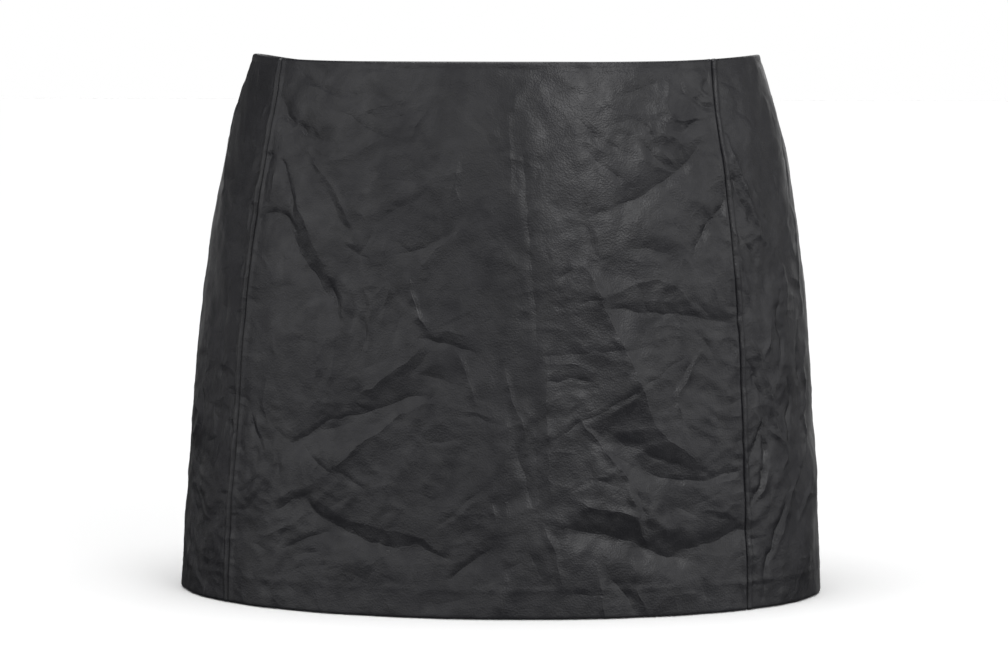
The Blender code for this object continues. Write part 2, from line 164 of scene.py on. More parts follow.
# Creases, listed one by one. Each has its height in millimetres, troughs below zero, its half width
# on the left and on the right of its run, and its route: millimetres round from centre front or
# centre back, millimetres down and the share of the height there. Where no share is given, it is
# 0.3 at an end and 1 between the ends. A run from left to right has the lower side on its right.
# Columns: height, half width left, half width right, route
FRONT_CREASES = [
    # Front panel, top left
    (-0.75, 3, 5, (
        (-146, 12), (-139, 16), (-130, 21), (-119, 25, 0.9), (-106, 28, 0.6), (-94, 28, 0.4),
        (-82, 27, 0.2),
    )),
    (0.3, 2.5, 2.5, ((-140, 20), (-128, 25), (-115, 29), (-104, 32))),
    (-0.4, 6, 8, ((-88, 40), (-76, 45), (-62, 44), (-46, 40))),
    (0.35, 5, 4, ((-92, 42), (-80, 38), (-66, 35, 0.8), (-56, 33))),
    (-1.3, 5, 3.5, (
        (-165, 27), (-160, 34, 0.8), (-154, 42), (-146, 49), (-137, 54, 0.9), (-129, 58, 0.6),
        (-120, 61, 0.3), (-110, 63, 0.1),
    )),
    (0.45, 4, 3, ((-138, 61, 0.2), (-130, 66, 0.8), (-121, 70), (-110, 71))),
    (0.75, 2.2, 3, (
        (-142, 56), (-135, 66, 0.8), (-129, 73, 0.7), (-122, 80), (-114, 89), (-107, 99), (-101, 110),
        (-95, 121, 0.9), (-90, 130, 0.8), (-88, 135, 0.2),
    )),
    (-0.35, 3, 4, ((-119, 92), (-112, 101), (-107, 110), (-103, 119))),
    (-0.5, 2.4, 2.6, ((-99, 133), (-91, 138), (-82, 141, 0.4))),
    (0.35, 2.2, 2.2, ((-101, 130, 0.4), (-95, 132), (-88, 134))),
    (-1.44, 3, 3, ((-155, 76), (-152, 84), (-149, 94), (-145, 104, 0.8), (-143, 114, 0.2))),
    (0.8, 4, 4, (
        (-146, 84, 0.2), (-142, 96, 0.8), (-138, 108), (-131, 121), (-125, 133, 0.8), (-117, 146, 0.2),
    )),
    (-0.85, 3, 5, (
        (-178, 119), (-171, 114, 0.9), (-162, 112), (-153, 112), (-147, 117, 0.8), (-141, 126),
    )),
    (-1.0, 9, 12, (
        (-151, 113), (-146, 124, 0.9), (-139, 136), (-130, 147), (-121, 157), (-114, 165, 0.7),
        (-109, 174),
    )),
    (-1.2, 3, 3.6, ((-112, 156), (-108, 166), (-105, 178), (-103, 192))),
    (0.9, 3, 3, ((-102, 156), (-100, 168), (-99, 182), (-99, 192))),
    (0.8, 3, 3, ((-80, 160), (-79, 174), (-80, 192), (-80, 210))),
    (-0.9, 2.6, 3, ((-85, 162), (-83, 178), (-83, 196), (-84, 212))),
    (0.8, 3, 3.4, ((-105, 190), (-106, 205), (-108, 222), (-112, 242))),
    (0.7, 3, 3, ((-116, 202), (-119, 218), (-122, 236))),
    (-0.6, 3, 4, ((-94, 166), (-92, 184), (-94, 204, 0.8), (-97, 222))),
    (0.6, 3, 4, ((-68, 146), (-66, 160), (-68, 176, 0.8), (-71, 190, 0.2))),
    (-0.5, 4, 5, ((-60, 166), (-58, 182), (-62, 198, 0.4))),
    (0.25, 4, 4, ((-92, 84), (-78, 78), (-64, 72))),
    (0.2, 4, 5, ((-100, 98), (-84, 96), (-66, 90))),
    (-0.75, 5, 3, ((-168, 62, 0.2), (-168, 68), (-171, 82), (-174, 98), (-177, 110))),
    (0.64, 4, 4, ((-163, 80), (-163, 90), (-165, 102))),
    (0.4, 2.4, 2.4, ((-18, 70), (-21, 86), (-23, 102))),
    (-0.5, 6, 8, ((-118, 34), (-98, 44, 0.9), (-76, 56), (-56, 62))),
    (0.35, 6, 6, ((-128, 76), (-108, 74), (-86, 66), (-64, 52))),
    (-0.4, 5, 7, ((-78, 118), (-64, 108), (-50, 102, 0.9), (-36, 92))),
    # Front panel, middle left
    (-0.5, 3.5, 5, ((-60, 138), (-50, 137), (-40, 133), (-30, 128, 0.8), (-18, 122))),
    (0.4, 6, 8, ((-43, 146), (-36, 138), (-25, 129), (-12, 119, 0.8), (4, 107))),
    (-0.35, 2.4, 2.4, ((-62, 128), (-57, 133), (-53, 137))),
    (1.3, 4, 5, ((-51, 146), (-50, 160, 0.8), (-47, 172), (-43, 182), (-37, 190))),
    (0.7, 3, 4, ((-84, 236), (-77, 231), (-66, 223), (-55, 215), (-46, 207, 0.9), (-40, 200, 0.4))),
    (-0.5, 5, 6, ((-52, 224), (-44, 214), (-36, 206, 0.6))),
    (-0.4, 3, 3.5, ((-84, 218), (-76, 215), (-68, 211, 0.4))),
    (-0.9, 3.5, 5, ((-44, 196), (-34, 197), (-24, 199), (-12, 203, 0.6), (-4, 206, 0.2))),
    (0.4, 4, 3, ((-34, 190), (-22, 191), (-8, 194))),
    (-0.5, 3.5, 5, ((-44, 221), (-32, 223), (-18, 227, 0.8), (-8, 230, 0.2))),
    (0.8, 3, 3, ((-19, 203), (-12, 214), (-7, 226), (-2, 240, 0.4))),
    (-0.35, 2.4, 2.6, ((-14, 250, 0.4), (-4, 249), (6, 252), (16, 255, 0.4))),
    (0.3, 2.2, 2.2, ((-14, 246), (-4, 246), (8, 249, 0.6))),
    (-0.4, 2.4, 3, ((-36, 268), (-25, 267), (-14, 266, 0.4))),
    # Front panel, lower left
    (-0.8, 3, 5, (
        (-142, 273), (-136, 270), (-128, 266), (-118, 260), (-109, 254, 0.9), (-96, 251, 0.8),
        (-82, 249, 0.7), (-68, 244, 0.7), (-53, 238, 0.8), (-38, 235),
    )),
    (-0.4, 3, 3, ((-122, 265), (-112, 261), (-102, 258), (-94, 255))),
    (0.7, 5, 2.4, (
        (-108, 290, 0.5), (-101, 284), (-92, 277), (-81, 268), (-69, 259), (-57, 250), (-45, 243, 0.9),
        (-33, 240),
    )),
    (-0.5, 3, 3.5, ((-158, 260), (-148, 266), (-139, 271, 1))),
    (-0.7, 2.6, 3, ((-132, 271), (-126, 276, 0.8), (-119, 283), (-112, 288), (-107, 290, 0.4))),
    (-0.55, 3, 3.5, ((-105, 288, 0.4), (-97, 292), (-89, 297), (-81, 300))),
    (-0.96, 2.4, 3, ((-178, 250), (-176, 257), (-172, 266), (-167, 276, 0.5))),
    (0.56, 2.4, 2.4, ((-173, 252), (-170, 262), (-164, 276, 0.4))),
    (-0.35, 2.4, 2.4, ((-166, 270), (-160, 272), (-154, 278, 0.4))),
    (0.64, 2.6, 3, ((-155, 276), (-154, 286), (-158, 298, 0.8), (-160, 304))),
    (0.56, 2.4, 2.4, ((-147, 278), (-147, 288), (-150, 296))),
    (-0.8, 2.8, 4, ((-192, 316), (-186, 310), (-178, 304), (-168, 297, 0.4))),
    (0.45, 3, 3, ((-186, 317), (-178, 311), (-168, 303, 0.8), (-162, 296))),
    (-0.5, 3, 4, ((-182, 320, 0.4), (-175, 316), (-167, 308, 0.5))),
    (-0.75, 3, 4, ((-152, 318), (-145, 316), (-136, 311), (-128, 308, 0.8), (-122, 306, 0.2))),
    (0.4, 3, 2.6, ((-158, 313), (-148, 310), (-138, 305, 0.8), (-128, 303))),
    (-1.0, 5, 9, (
        (-126, 312, 0.2), (-121, 316, 0.5), (-113, 322, 0.7), (-103, 327, 0.9), (-91, 332), (-78, 336),
        (-65, 339), (-52, 340, 0.9), (-42, 336),
    )),
    (-0.5, 2.4, 3, ((-127, 311), (-120, 317), (-112, 322, 0.8), (-104, 325))),
    (0.45, 6, 3, ((-120, 308), (-108, 316), (-94, 322), (-78, 326), (-62, 329, 0.9), (-48, 331, 0.4))),
    (0.48, 8, 8, ((-62, 306, 0.5), (-54, 318), (-50, 328))),
    (-0.7, 2.8, 4.5, ((-145, 344), (-138, 342), (-129, 338), (-118, 334), (-109, 331, 0.4))),
    (-0.5, 4, 6, ((-130, 348), (-120, 346), (-108, 344), (-98, 345))),
    (0.4, 3, 3, ((-170, 338), (-160, 337), (-146, 332), (-132, 324, 0.8), (-122, 318, 0.2))),
    (-0.6, 5, 7, ((-44, 336), (-34, 341), (-24, 346), (-14, 350))),
    (0.4, 2.4, 2.6, ((-50, 330), (-42, 333), (-33, 337, 0.9), (-26, 343))),
    (0.4, 4, 3.5, ((-82, 356), (-70, 349), (-58, 343), (-44, 338))),
    (-0.45, 2.4, 3, ((-33, 328), (-24, 321), (-14, 313), (-4, 305), (6, 296))),
    (0.3, 2.2, 2.2, ((-28, 328), (-14, 317), (-2, 308))),
    (-0.7, 3, 4, ((-20, 362), (-13, 356), (-4, 349, 0.9), (8, 341, 0.4))),
    (-0.5, 6, 7, ((-140, 372), (-130, 375), (-118, 378, 0.4))),
    (-0.5, 6, 7, ((-34, 377), (-22, 377), (-8, 374))),
    (-0.4, 4, 5, ((-176, 345), (-168, 345), (-158, 348))),
    (0.64, 5, 5, ((-150, 348), (-152, 362), (-152, 376, 0.8), (-150, 386))),
    (0.48, 4, 4, ((-118, 366), (-116, 378), (-112, 387, 0.6))),
    (0.48, 6, 6, ((-66, 372), (-62, 380), (-60, 388, 0.6))),
    # Front panel, centre
    (-0.72, 2.4, 3.2, (
        (24, 58), (27, 76, 0.8), (30, 100), (31, 121), (33, 142), (35, 162), (37, 184, 0.8),
        (39, 208, 0.2),
    )),
    (0.4, 2.4, 3, ((15, 40), (17, 56), (18, 78, 0.8), (18, 104))),
    (0.9, 4, 4, ((46, 220), (45, 240), (47, 262), (48, 285), (50, 306))),
    (0.8, 3, 3.6, ((15, 204), (18, 222), (23, 240), (30, 254), (32, 274, 0.4))),
    (-0.7, 4, 4, ((26, 262), (28, 280), (34, 298), (38, 312))),
    (1.0, 6, 6, ((19, 346), (18, 362), (17, 376), (16, 388, 0.7))),
    (0.7, 4, 5, ((10, 292), (10, 306), (12, 322, 0.8), (10, 338))),
    (0.56, 8, 8, ((20, 250), (18, 290), (20, 340, 0.8), (22, 384, 0.4))),
    (-0.56, 7, 7, ((38, 240), (40, 280), (42, 330, 0.5))),
    (0.8, 2.6, 3, ((44, 323), (49, 331), (54, 343), (57, 356, 0.9), (59, 370))),
    (-0.64, 6, 6, ((34, 334), (38, 346), (44, 358, 0.4))),
    # Front panel, top right
    (0.7, 3, 3, (
        (133, 8, 0.4), (131, 20), (128, 31), (130, 41, 0.9), (137, 46, 0.8), (149, 46, 0.8),
        (164, 43, 0.4),
    )),
    (-0.8, 4, 4, ((135, 10), (139, 20), (143, 29), (155, 35), (166, 38, 0.4))),
    (0.4, 2.2, 2.2, ((141, 28), (147, 33), (154, 39, 0.4))),
    (0.45, 2.4, 2.4, ((150, 12), (156, 17), (153, 23, 0.8), (161, 28), (166, 34, 0.4))),
    (-0.72, 2.4, 2.4, ((158, 9, 0.4), (162, 17), (158, 24, 0.8), (167, 28))),
    (0.4, 2.2, 2.2, ((146, 22), (154, 26), (163, 31, 0.5))),
    (-0.5, 8, 8, ((92, 30), (104, 25), (118, 20), (128, 14, 0.4))),
    (-0.5, 3, 3, ((102, 44), (108, 47), (114, 50, 0.4))),
    (0.8, 2.4, 2.6, ((114, 46), (117, 52), (120, 60, 0.6))),
    (-0.5, 3, 3, ((117, 42, 0.4), (123, 46), (130, 49, 0.4))),
    (0.72, 2.4, 2.4, ((128, 46), (126, 53), (129, 62, 0.4))),
    (-0.7, 3, 3.5, ((138, 58), (143, 52), (152, 47), (166, 44, 0.5))),
    (0.4, 3, 3, ((140, 63), (150, 59), (163, 54, 0.4))),
    (-0.65, 6, 3.5, (
        (155, 62), (149, 69), (142, 76), (134, 83), (123, 89), (113, 95), (104, 101, 0.8), (93, 105, 0.5),
        (82, 109, 0.4), (70, 113, 0.2),
    )),
    (-0.6, 3, 3, ((108, 59), (113, 65), (120, 72), (128, 78, 0.4))),
    (0.4, 2.6, 3, ((120, 62), (127, 70), (135, 77, 0.4))),
    (0.4, 2.4, 2.6, ((71, 58), (78, 65), (87, 70, 0.5))),
    (-0.5, 3, 4, ((66, 46), (73, 54), (82, 61), (92, 65, 0.4))),
    (-0.5, 3.5, 4, ((68, 64), (76, 72), (85, 80), (93, 87, 0.8), (96, 94, 0.2))),
    # Front panel, middle right
    (-1.6, 6, 6, (
        (175, 78, 0.2), (176, 92, 0.5), (174, 105, 0.9), (166, 113), (159, 120), (154, 130, 0.9),
        (149, 139, 0.5), (146, 144, 0.1),
    )),
    (0.4, 3, 3, ((160, 102), (154, 107), (148, 114, 0.4))),
    (0.4, 2.6, 3.5, (
        (80, 169), (90, 165), (99, 162), (110, 158), (122, 156), (132, 159), (139, 164, 0.9),
        (146, 172, 0.7), (153, 179),
    )),
    (0.3, 6, 6, ((96, 172), (112, 170), (128, 171), (140, 177))),
    (-0.5, 2.6, 4, (
        (85, 174, 0.4), (98, 176), (112, 178), (130, 179), (147, 181), (163, 184), (184, 188, 0.6),
    )),
    (0.3, 4, 4, ((118, 187), (136, 188), (158, 191))),
    (1.0, 6, 6, (
        (70, 146), (76, 156, 0.8), (82, 168), (87, 180), (93, 191), (99, 203), (105, 217),
        (112, 232, 0.9), (118, 245, 0.8), (124, 259, 0.7), (134, 268, 0.7), (146, 275, 0.6),
        (155, 285, 0.2),
    )),
    (-0.5, 2.6, 3, ((68, 172), (75, 170), (83, 169))),
    (-0.5, 2.6, 3, ((53, 154), (59, 150), (64, 146, 0.2))),
    (-0.35, 6, 8, ((98, 136), (112, 134), (128, 137), (138, 142))),
    (-0.64, 2.6, 2.6, ((71, 120), (74, 130), (76, 138))),
    (0.48, 2.4, 2.4, ((77, 122), (80, 132), (82, 142))),
    (0.56, 3, 3, ((164, 142), (167, 156), (169, 170), (168, 182, 0.4))),
    (-0.35, 2.4, 3, ((38, 208), (56, 206), (75, 206, 0.8), (92, 204), (112, 203, 0.4))),
    (0.35, 4, 4, ((46, 212), (62, 213), (78, 218, 0.4))),
    (-0.6, 3, 4.5, ((44, 225), (54, 224), (66, 223), (78, 225))),
    (-0.45, 2.4, 3, (
        (50, 266), (60, 259, 0.8), (70, 253), (83, 247), (97, 239), (111, 231, 0.9), (125, 221),
        (138, 213, 0.9), (145, 208),
    )),
    (-0.35, 4, 4, ((66, 249), (76, 245), (86, 240))),
    (0.3, 2.6, 3, ((84, 251), (96, 244), (108, 236, 0.4))),
    (0.8, 2.6, 2.8, (
        (158, 204), (152, 214, 0.8), (147, 224), (141, 232), (138, 240), (141, 250, 0.8), (144, 262),
    )),
    (-0.4, 2.6, 2.6, ((150, 212), (143, 222), (138, 231, 0.5))),
    (0.4, 2.4, 2.4, ((168, 208), (173, 200), (180, 197), (186, 200, 0.4))),
    (-0.5, 2.6, 3, ((152, 192), (160, 200), (166, 208, 0.4))),
    (0.3, 4, 4, ((150, 203, 0.5), (158, 207), (162, 212))),
    # Front panel, lower right
    (-0.6, 8, 8, ((92, 262), (106, 270), (118, 276), (134, 285, 0.6), (146, 290, 0.2))),
    (-0.5, 3, 4, ((118, 275), (130, 281), (142, 285), (150, 287))),
    (-0.65, 2.6, 3.5, (
        (116, 286), (122, 290, 0.9), (134, 293), (150, 295), (166, 295), (180, 291, 0.9), (194, 290, 0.4),
    )),
    (0.35, 3, 2.6, ((158, 300), (172, 298), (182, 296), (192, 298))),
    (0.4, 2.6, 2.6, ((158, 318), (167, 316), (178, 318, 0.8), (188, 324))),
    (0.4, 2.4, 2.4, ((162, 326), (172, 321, 0.9), (182, 315), (192, 314))),
    (-0.4, 2.6, 2.6, ((166, 320, 0.4), (174, 322), (182, 323))),
    (-0.4, 2.4, 2.6, ((154, 312), (164, 309), (176, 304))),
    (1.2, 2.8, 3.2, (
        (68, 250, 0.2), (76, 259, 0.7), (84, 268, 0.8), (90, 277, 0.8), (97, 285), (103, 292), (105, 302),
        (109, 311), (111, 321), (116, 331, 0.8), (120, 337, 0.2),
    )),
    (-0.8, 2.6, 3, ((110, 300), (114, 310), (117, 320), (121, 330, 0.4))),
    (-0.45, 2.6, 3, ((66, 299), (73, 295), (82, 293), (92, 295, 0.8), (99, 299, 0.2))),
    (0.48, 3.5, 3.5, ((93, 304), (92, 314), (94, 322, 0.4))),
    (0.56, 4, 4, ((120, 296, 0.4), (119, 304), (122, 312, 0.4))),
    (0.56, 3, 3, ((131, 314), (131, 324), (132, 334, 0.4))),
    (-0.35, 7, 7, ((128, 306), (142, 314), (158, 322), (166, 327))),
    (0.8, 6, 5, ((66, 306), (80, 312), (96, 315), (110, 321, 0.8), (122, 330))),
    (-0.8, 5, 9, (
        (62, 326), (70, 328, 0.8), (80, 329), (92, 331), (104, 334), (112, 338, 0.9), (118, 342, 0.4),
    )),
    (-0.7, 4, 7, ((110, 333), (117, 340), (127, 345), (137, 348, 0.9), (146, 348))),
    (-0.7, 5, 7, ((138, 346), (148, 342, 0.9), (160, 340), (171, 338), (184, 333), (198, 328, 0.6))),
    (0.8, 4, 3.5, ((108, 346), (110, 356), (112, 366), (116, 378, 0.8), (120, 388, 0.5))),
    (1.0, 3, 3.4, ((82, 350), (85, 364), (88, 378), (90, 388, 0.6))),
    (-0.9, 5, 5, ((94, 362), (100, 368), (106, 375), (110, 384, 0.4))),
    (-0.5, 5, 5, ((56, 370), (72, 371), (88, 372, 0.4))),
    (0.48, 5, 5, ((140, 366), (140, 378), (142, 388, 0.5))),
    (-0.56, 6, 6, ((158, 362), (164, 374), (168, 386, 0.5))),
    # Side panel, the wearer's left
    (1.72, 3, 4, ((178, 56), (182, 68), (187, 80), (193, 92), (199, 105), (205, 116), (209, 128, 0.4))),
    (-1.35, 3, 4, ((178, 76), (183, 89), (190, 102), (197, 114, 0.9), (203, 124))),
    (0.96, 2.6, 3, ((203, 92), (209, 104), (216, 115), (222, 126))),
    (0.5, 2.6, 3, ((206, 126), (214, 131), (226, 137, 0.5))),
    (0.5, 3, 4, ((184, 46), (194, 46), (206, 52, 0.8), (218, 64))),
    (-0.5, 3, 4, ((176, 36), (188, 40), (202, 46, 0.8), (212, 58))),
    (-0.5, 4, 4, ((172, 18), (186, 22), (202, 30, 0.4))),
    (1.16, 3, 3.6, ((181, 118), (187, 134), (191, 148), (195, 162), (199, 178, 0.4))),
    (-0.9, 3, 4, ((188, 128), (199, 137), (205, 148), (212, 160, 0.9), (218, 174, 0.4))),
    (1.16, 3, 3, ((228, 136), (236, 152), (241, 166), (242, 182, 0.4))),
    (-1.16, 4, 4, ((232, 168), (228, 184), (232, 204, 0.9), (230, 222))),
    (0.96, 3, 3, ((220, 188), (218, 202), (212, 213, 0.4))),
    (1.16, 3, 4, ((200, 200), (208, 212), (214, 228), (221, 246), (229, 266, 0.4))),
    (-1.16, 3, 4, ((196, 214), (203, 226), (209, 240), (212, 254))),
    (-1.72, 2.6, 3.2, ((212, 254), (210, 265), (204, 276), (198, 285, 0.4))),
    (1.16, 2.4, 2.6, ((206, 250), (209, 259), (207, 269, 0.4))),
    (-1.72, 3, 3.2, ((213, 262), (215, 274), (215, 286), (213, 297), (207, 306), (200, 315, 0.4))),
    (0.5, 3, 3, ((196, 300), (203, 296), (210, 292, 0.4))),
    (0.9, 3, 3.4, ((199, 320), (207, 311), (215, 301), (220, 288, 0.4))),
    (0.96, 2.6, 3, ((218, 262), (227, 269), (238, 274), (240, 284, 0.8), (234, 293))),
    (-1.35, 3, 4, ((240, 230), (246, 246), (242, 262), (246, 280))),
    (0.54, 3, 3, ((240, 294), (247, 306), (254, 318), (258, 332))),
    (-1.35, 2.6, 3.6, ((239, 312), (234, 326), (227, 338), (220, 350), (216, 364), (215, 380, 0.6))),
    (0.54, 3, 3, ((244, 316), (239, 330), (231, 342, 0.8), (224, 354))),
    (-0.5, 2.6, 3, ((199, 337, 0.4), (206, 339), (214, 338))),
    (1.08, 4, 4, ((262, 108), (268, 126), (266, 142), (270, 162), (274, 184, 0.4))),
    (-0.98, 4, 4, ((256, 60), (264, 82), (262, 102, 0.4))),
    (1.08, 4, 4, ((278, 204), (270, 222), (276, 240), (270, 258, 0.9), (276, 276))),
    (-1.08, 4, 5, ((262, 190), (258, 210), (262, 232), (258, 252))),
    (0.68, 4, 4, ((256, 330), (266, 318), (276, 306), (284, 292, 0.4))),
    (-0.61, 4, 4, ((252, 306), (262, 296), (270, 284, 0.9), (276, 270))),
    (0.45, 4, 4, ((256, 372), (264, 362), (272, 352), (282, 344, 0.4))),
    (-0.36, 4, 4, ((264, 382), (272, 372), (282, 362, 0.4))),
    # Side panel, the wearer's right
    (0.77, 5, 5, ((-180, 84), (-184, 100), (-189, 114), (-188, 132), (-191, 148, 0.9), (-196, 166))),
    (0.35, 3, 3, ((-184, 48), (-181, 41), (-176, 35, 0.4))),
    (0.64, 3, 3, ((-198, 4, 0.5), (-197, 12), (-196, 22))),
    (0.58, 4, 4, ((-244, 76), (-236, 86), (-234, 96), (-240, 108))),
    (0.58, 5, 5, ((-262, 30), (-256, 44), (-250, 60))),
    (-0.64, 5, 6, ((-216, 250), (-214, 220), (-212, 190), (-206, 160, 0.4))),
    (0.51, 4, 4, ((-224, 290), (-222, 262), (-226, 234, 0.4))),
    (0.79, 4, 4, ((-268, 216), (-256, 228), (-250, 240), (-256, 256, 0.8), (-264, 266, 0.2))),
    (0.79, 4, 4, ((-272, 244), (-256, 252), (-248, 259), (-256, 270), (-270, 282, 0.4))),
    (-0.65, 4, 4, ((-262, 226), (-246, 240), (-240, 258), (-248, 274))),
    (0.54, 3.6, 3.6, ((-274, 284), (-262, 298), (-250, 312), (-238, 325, 0.9), (-224, 332))),
    (-0.41, 4, 4, ((-264, 312), (-250, 328), (-240, 342, 0.4))),
    (0.72, 4, 4, ((-270, 376), (-262, 362), (-258, 346), (-262, 332, 0.4))),
    (-0.45, 4, 4, ((-206, 252), (-203, 262), (-207, 276), (-212, 286))),
    (-0.45, 4, 4, ((-192, 270), (-194, 282), (-198, 296))),
    (0.45, 4, 4, ((-206, 330), (-204, 346), (-208, 366, 0.4))),
    (-0.64, 5, 5, ((-232, 388, 0.6), (-228, 368), (-224, 350))),
]
BACK_CREASES = [
    # Back of the side panels
    (-0.78, 4, 6, ((254, 70), (262, 96), (266, 124), (262, 150))),
    (0.72, 4, 5, ((232, 88), (244, 112), (250, 138), (244, 166))),
    (0.66, 4, 4, ((280, 190), (264, 208), (252, 230), (246, 254))),
    (-0.78, 4, 5, ((262, 240), (248, 262), (236, 282, 0.9), (230, 306))),
    (0.72, 4, 4, ((276, 300), (262, 318), (250, 338, 0.9), (246, 360))),
    (-0.6, 4, 4, ((230, 356), (240, 336), (254, 322))),
    (-0.72, 5, 4, ((-248, 62), (-256, 88), (-254, 116), (-262, 142))),
    (0.66, 4, 5, ((-230, 120), (-240, 146), (-238, 172, 0.9), (-248, 198))),
    (-0.72, 4, 5, ((-270, 214), (-256, 232), (-244, 254), (-240, 280))),
    (0.78, 4, 4, ((-234, 288), (-246, 304), (-256, 326, 0.9), (-252, 350))),
    (-0.6, 5, 4, ((-266, 352), (-272, 332), (-268, 310))),
    # Back panel, the wearer's right
    (0.84, 6, 3.4, ((-196, 44), (-184, 62, 0.9), (-170, 84), (-156, 108), (-142, 128, 0.4))),
    (-0.84, 4, 6, ((-208, 80), (-192, 100), (-176, 124), (-160, 140, 0.4))),
    (0.6, 4, 3, ((-148, 26), (-128, 38), (-104, 44, 0.8), (-84, 42))),
    (-0.54, 3, 4, ((-150, 50), (-130, 60), (-110, 62, 0.4))),
    (-0.96, 3.6, 7, (
        (-204, 148, 0.4), (-186, 156), (-166, 164), (-144, 170), (-122, 172, 0.9), (-104, 168),
    )),
    (0.84, 7, 3.4, ((-196, 186), (-172, 190), (-148, 186), (-124, 190, 0.8), (-104, 200))),
    (0.9, 5, 3, ((-160, 212), (-142, 222), (-122, 232), (-100, 242), (-78, 250, 0.5))),
    (-0.78, 3, 5, ((-140, 236), (-120, 248), (-100, 258, 0.9), (-84, 262))),
    (-0.9, 3.6, 6, ((-206, 258), (-188, 268), (-170, 280), (-152, 292, 0.9), (-136, 300))),
    (0.78, 4, 3, ((-184, 318), (-168, 310), (-150, 306, 0.9), (-132, 308))),
    (-1.08, 4, 7, ((-130, 318), (-110, 326), (-88, 334), (-66, 340), (-46, 344, 0.8), (-30, 342, 0.2))),
    (0.84, 8, 4, ((-122, 304), (-100, 314), (-76, 324), (-54, 328, 0.7), (-38, 326))),
    (0.66, 4, 3, ((-78, 292), (-62, 284), (-44, 274), (-28, 264, 0.4))),
    (-0.54, 3, 4, ((-92, 196), (-76, 190), (-58, 192, 0.8), (-44, 200))),
    (0.6, 3, 3, ((-70, 78), (-58, 96), (-52, 118, 0.9), (-54, 140))),
    (-0.54, 3, 3, ((-92, 96), (-84, 116), (-80, 138, 0.4))),
    (0.66, 4, 4, ((-174, 388, 0.7), (-166, 372), (-158, 354, 0.9), (-154, 338))),
    (-0.6, 5, 5, ((-110, 388, 0.6), (-106, 374), (-104, 360))),
    (0.54, 3, 3, ((-40, 228), (-30, 246), (-26, 262))),
    # Back panel, the wearer's left
    (-0.9, 6, 4, ((208, 84), (192, 104), (176, 122), (158, 138, 0.4))),
    (0.78, 4, 6, ((196, 50), (182, 70), (166, 88), (148, 104, 0.4))),
    (-0.6, 3, 4, ((78, 40), (100, 48), (124, 46, 0.9), (146, 36))),
    (0.48, 4, 3, ((66, 62), (88, 72), (112, 72, 0.4))),
    (-0.96, 3.6, 6, ((92, 158), (112, 160), (134, 164), (158, 170), (182, 178, 0.9), (200, 188))),
    (0.78, 6, 3.6, ((104, 146), (126, 148), (150, 152, 0.9), (174, 158))),
    (0.9, 5, 3, ((66, 264, 0.4), (86, 258), (106, 250), (128, 242), (150, 236, 0.9), (172, 230))),
    (-0.78, 3, 5, ((96, 228), (118, 220), (140, 212, 0.9), (160, 200))),
    (-0.84, 3.6, 6, ((120, 284), (140, 284), (162, 286), (186, 290, 0.9), (206, 292))),
    (0.78, 4, 3, ((136, 318), (156, 312), (176, 306, 0.9), (196, 306))),
    (-1.08, 4, 7, ((24, 328), (46, 332), (68, 336), (92, 340), (114, 340, 0.9), (130, 334))),
    (0.84, 8, 4, ((34, 312), (56, 318), (80, 324), (102, 324, 0.8), (122, 316))),
    (0.6, 4, 3, ((22, 272), (38, 282), (52, 294, 0.9), (62, 306))),
    (0.6, 4, 3, ((24, 208), (42, 202), (60, 194, 0.9), (78, 190))),
    (-0.54, 3, 3, ((54, 92), (50, 114), (56, 138, 0.9), (66, 156))),
    (0.54, 3, 3, ((96, 92), (90, 112), (92, 132, 0.4))),
    (-0.66, 4, 4, ((176, 388, 0.6), (172, 368), (164, 350, 0.9), (160, 336))),
    (0.6, 5, 4, ((118, 388, 0.7), (122, 372), (120, 356))),
    (-0.48, 4, 4, ((60, 388, 0.6), (62, 372), (58, 358))),
]
END_SHARE = 0.3

# How round a crease's crest is, where 0 is a knife edge and 1 a soft bank, how fast it falls off
# in half widths, how many of them it reaches, and its share of width where it is lowest
CREST = 0.50
CREASE_FALL = 1.5
CREASE_REACH = 3.0
LOW_WIDTH = 0.55

# How far from a crease its crisp line can be drawn, and half the line's width, in millimetres
CRISP_REACH = 2.2
CRISP_HALF_WIDTH = 1.1

# How many faint creases are scattered, and the lowest place of any that is drawn at random
SCATTERED_COUNT = 660
LOWEST_RANDOM = 376

# Where the cloth is crumpled more than elsewhere, and the smooth places, with strength below zero
# Columns: centre, round, drop, radius round, radius down, strength
CRUMPLED = [
    ("front", 140, 45, 45, 45, 0.7),
    ("front", -120, 300, 70, 60, 0.9),
    ("front", 130, 300, 70, 60, 0.9),
    ("front", -120, 50, 50, 40, 0.4),
    ("front", 225, 250, 45, 120, 0.8),
    ("front", -235, 290, 45, 80, 0.6),
    ("front", 130, 190, 60, 40, 0.5),
    ("front", -145, 195, 45, 40, -0.6),
    ("front", -10, 60, 50, 50, -0.5),
    ("front", 0, 160, 40, 50, -0.4),
    ("back", 150, 270, 60, 80, 0.8),
    ("back", -150, 240, 60, 90, 0.8),
    ("back", -110, 60, 50, 40, 0.4),
    ("back", 90, 100, 40, 50, -0.4),
]

# Each princess seam strays a little: how far round, at which drop and over what height, in mm
# Columns: seam, drop, half height, shift
SEAM_STRAYS = [
    ("front_left", 187, 4, -0.9),
    ("front_left", 194, 5, 0.5),
    ("front_left", 300, 40, 0.5),
    ("front_right", 60, 30, 0.6),
    ("front_right", 130, 35, -0.6),
    ("front_right", 260, 60, 0.5),
    ("back_left", 120, 40, 0.6),
    ("back_left", 260, 50, -0.5),
    ("back_right", 170, 50, 0.6),
    ("back_right", 310, 40, -0.5),
]

# Where the cloth is calmer: under the waist edge, beside a seam and beside the zip down to its
# foot, in millimetres
CALM_BELOW_EDGE = 7
CALM_BESIDE_SEAM = 2.5
CALM_BESIDE_ZIP = 15
CALM_DROP = 200

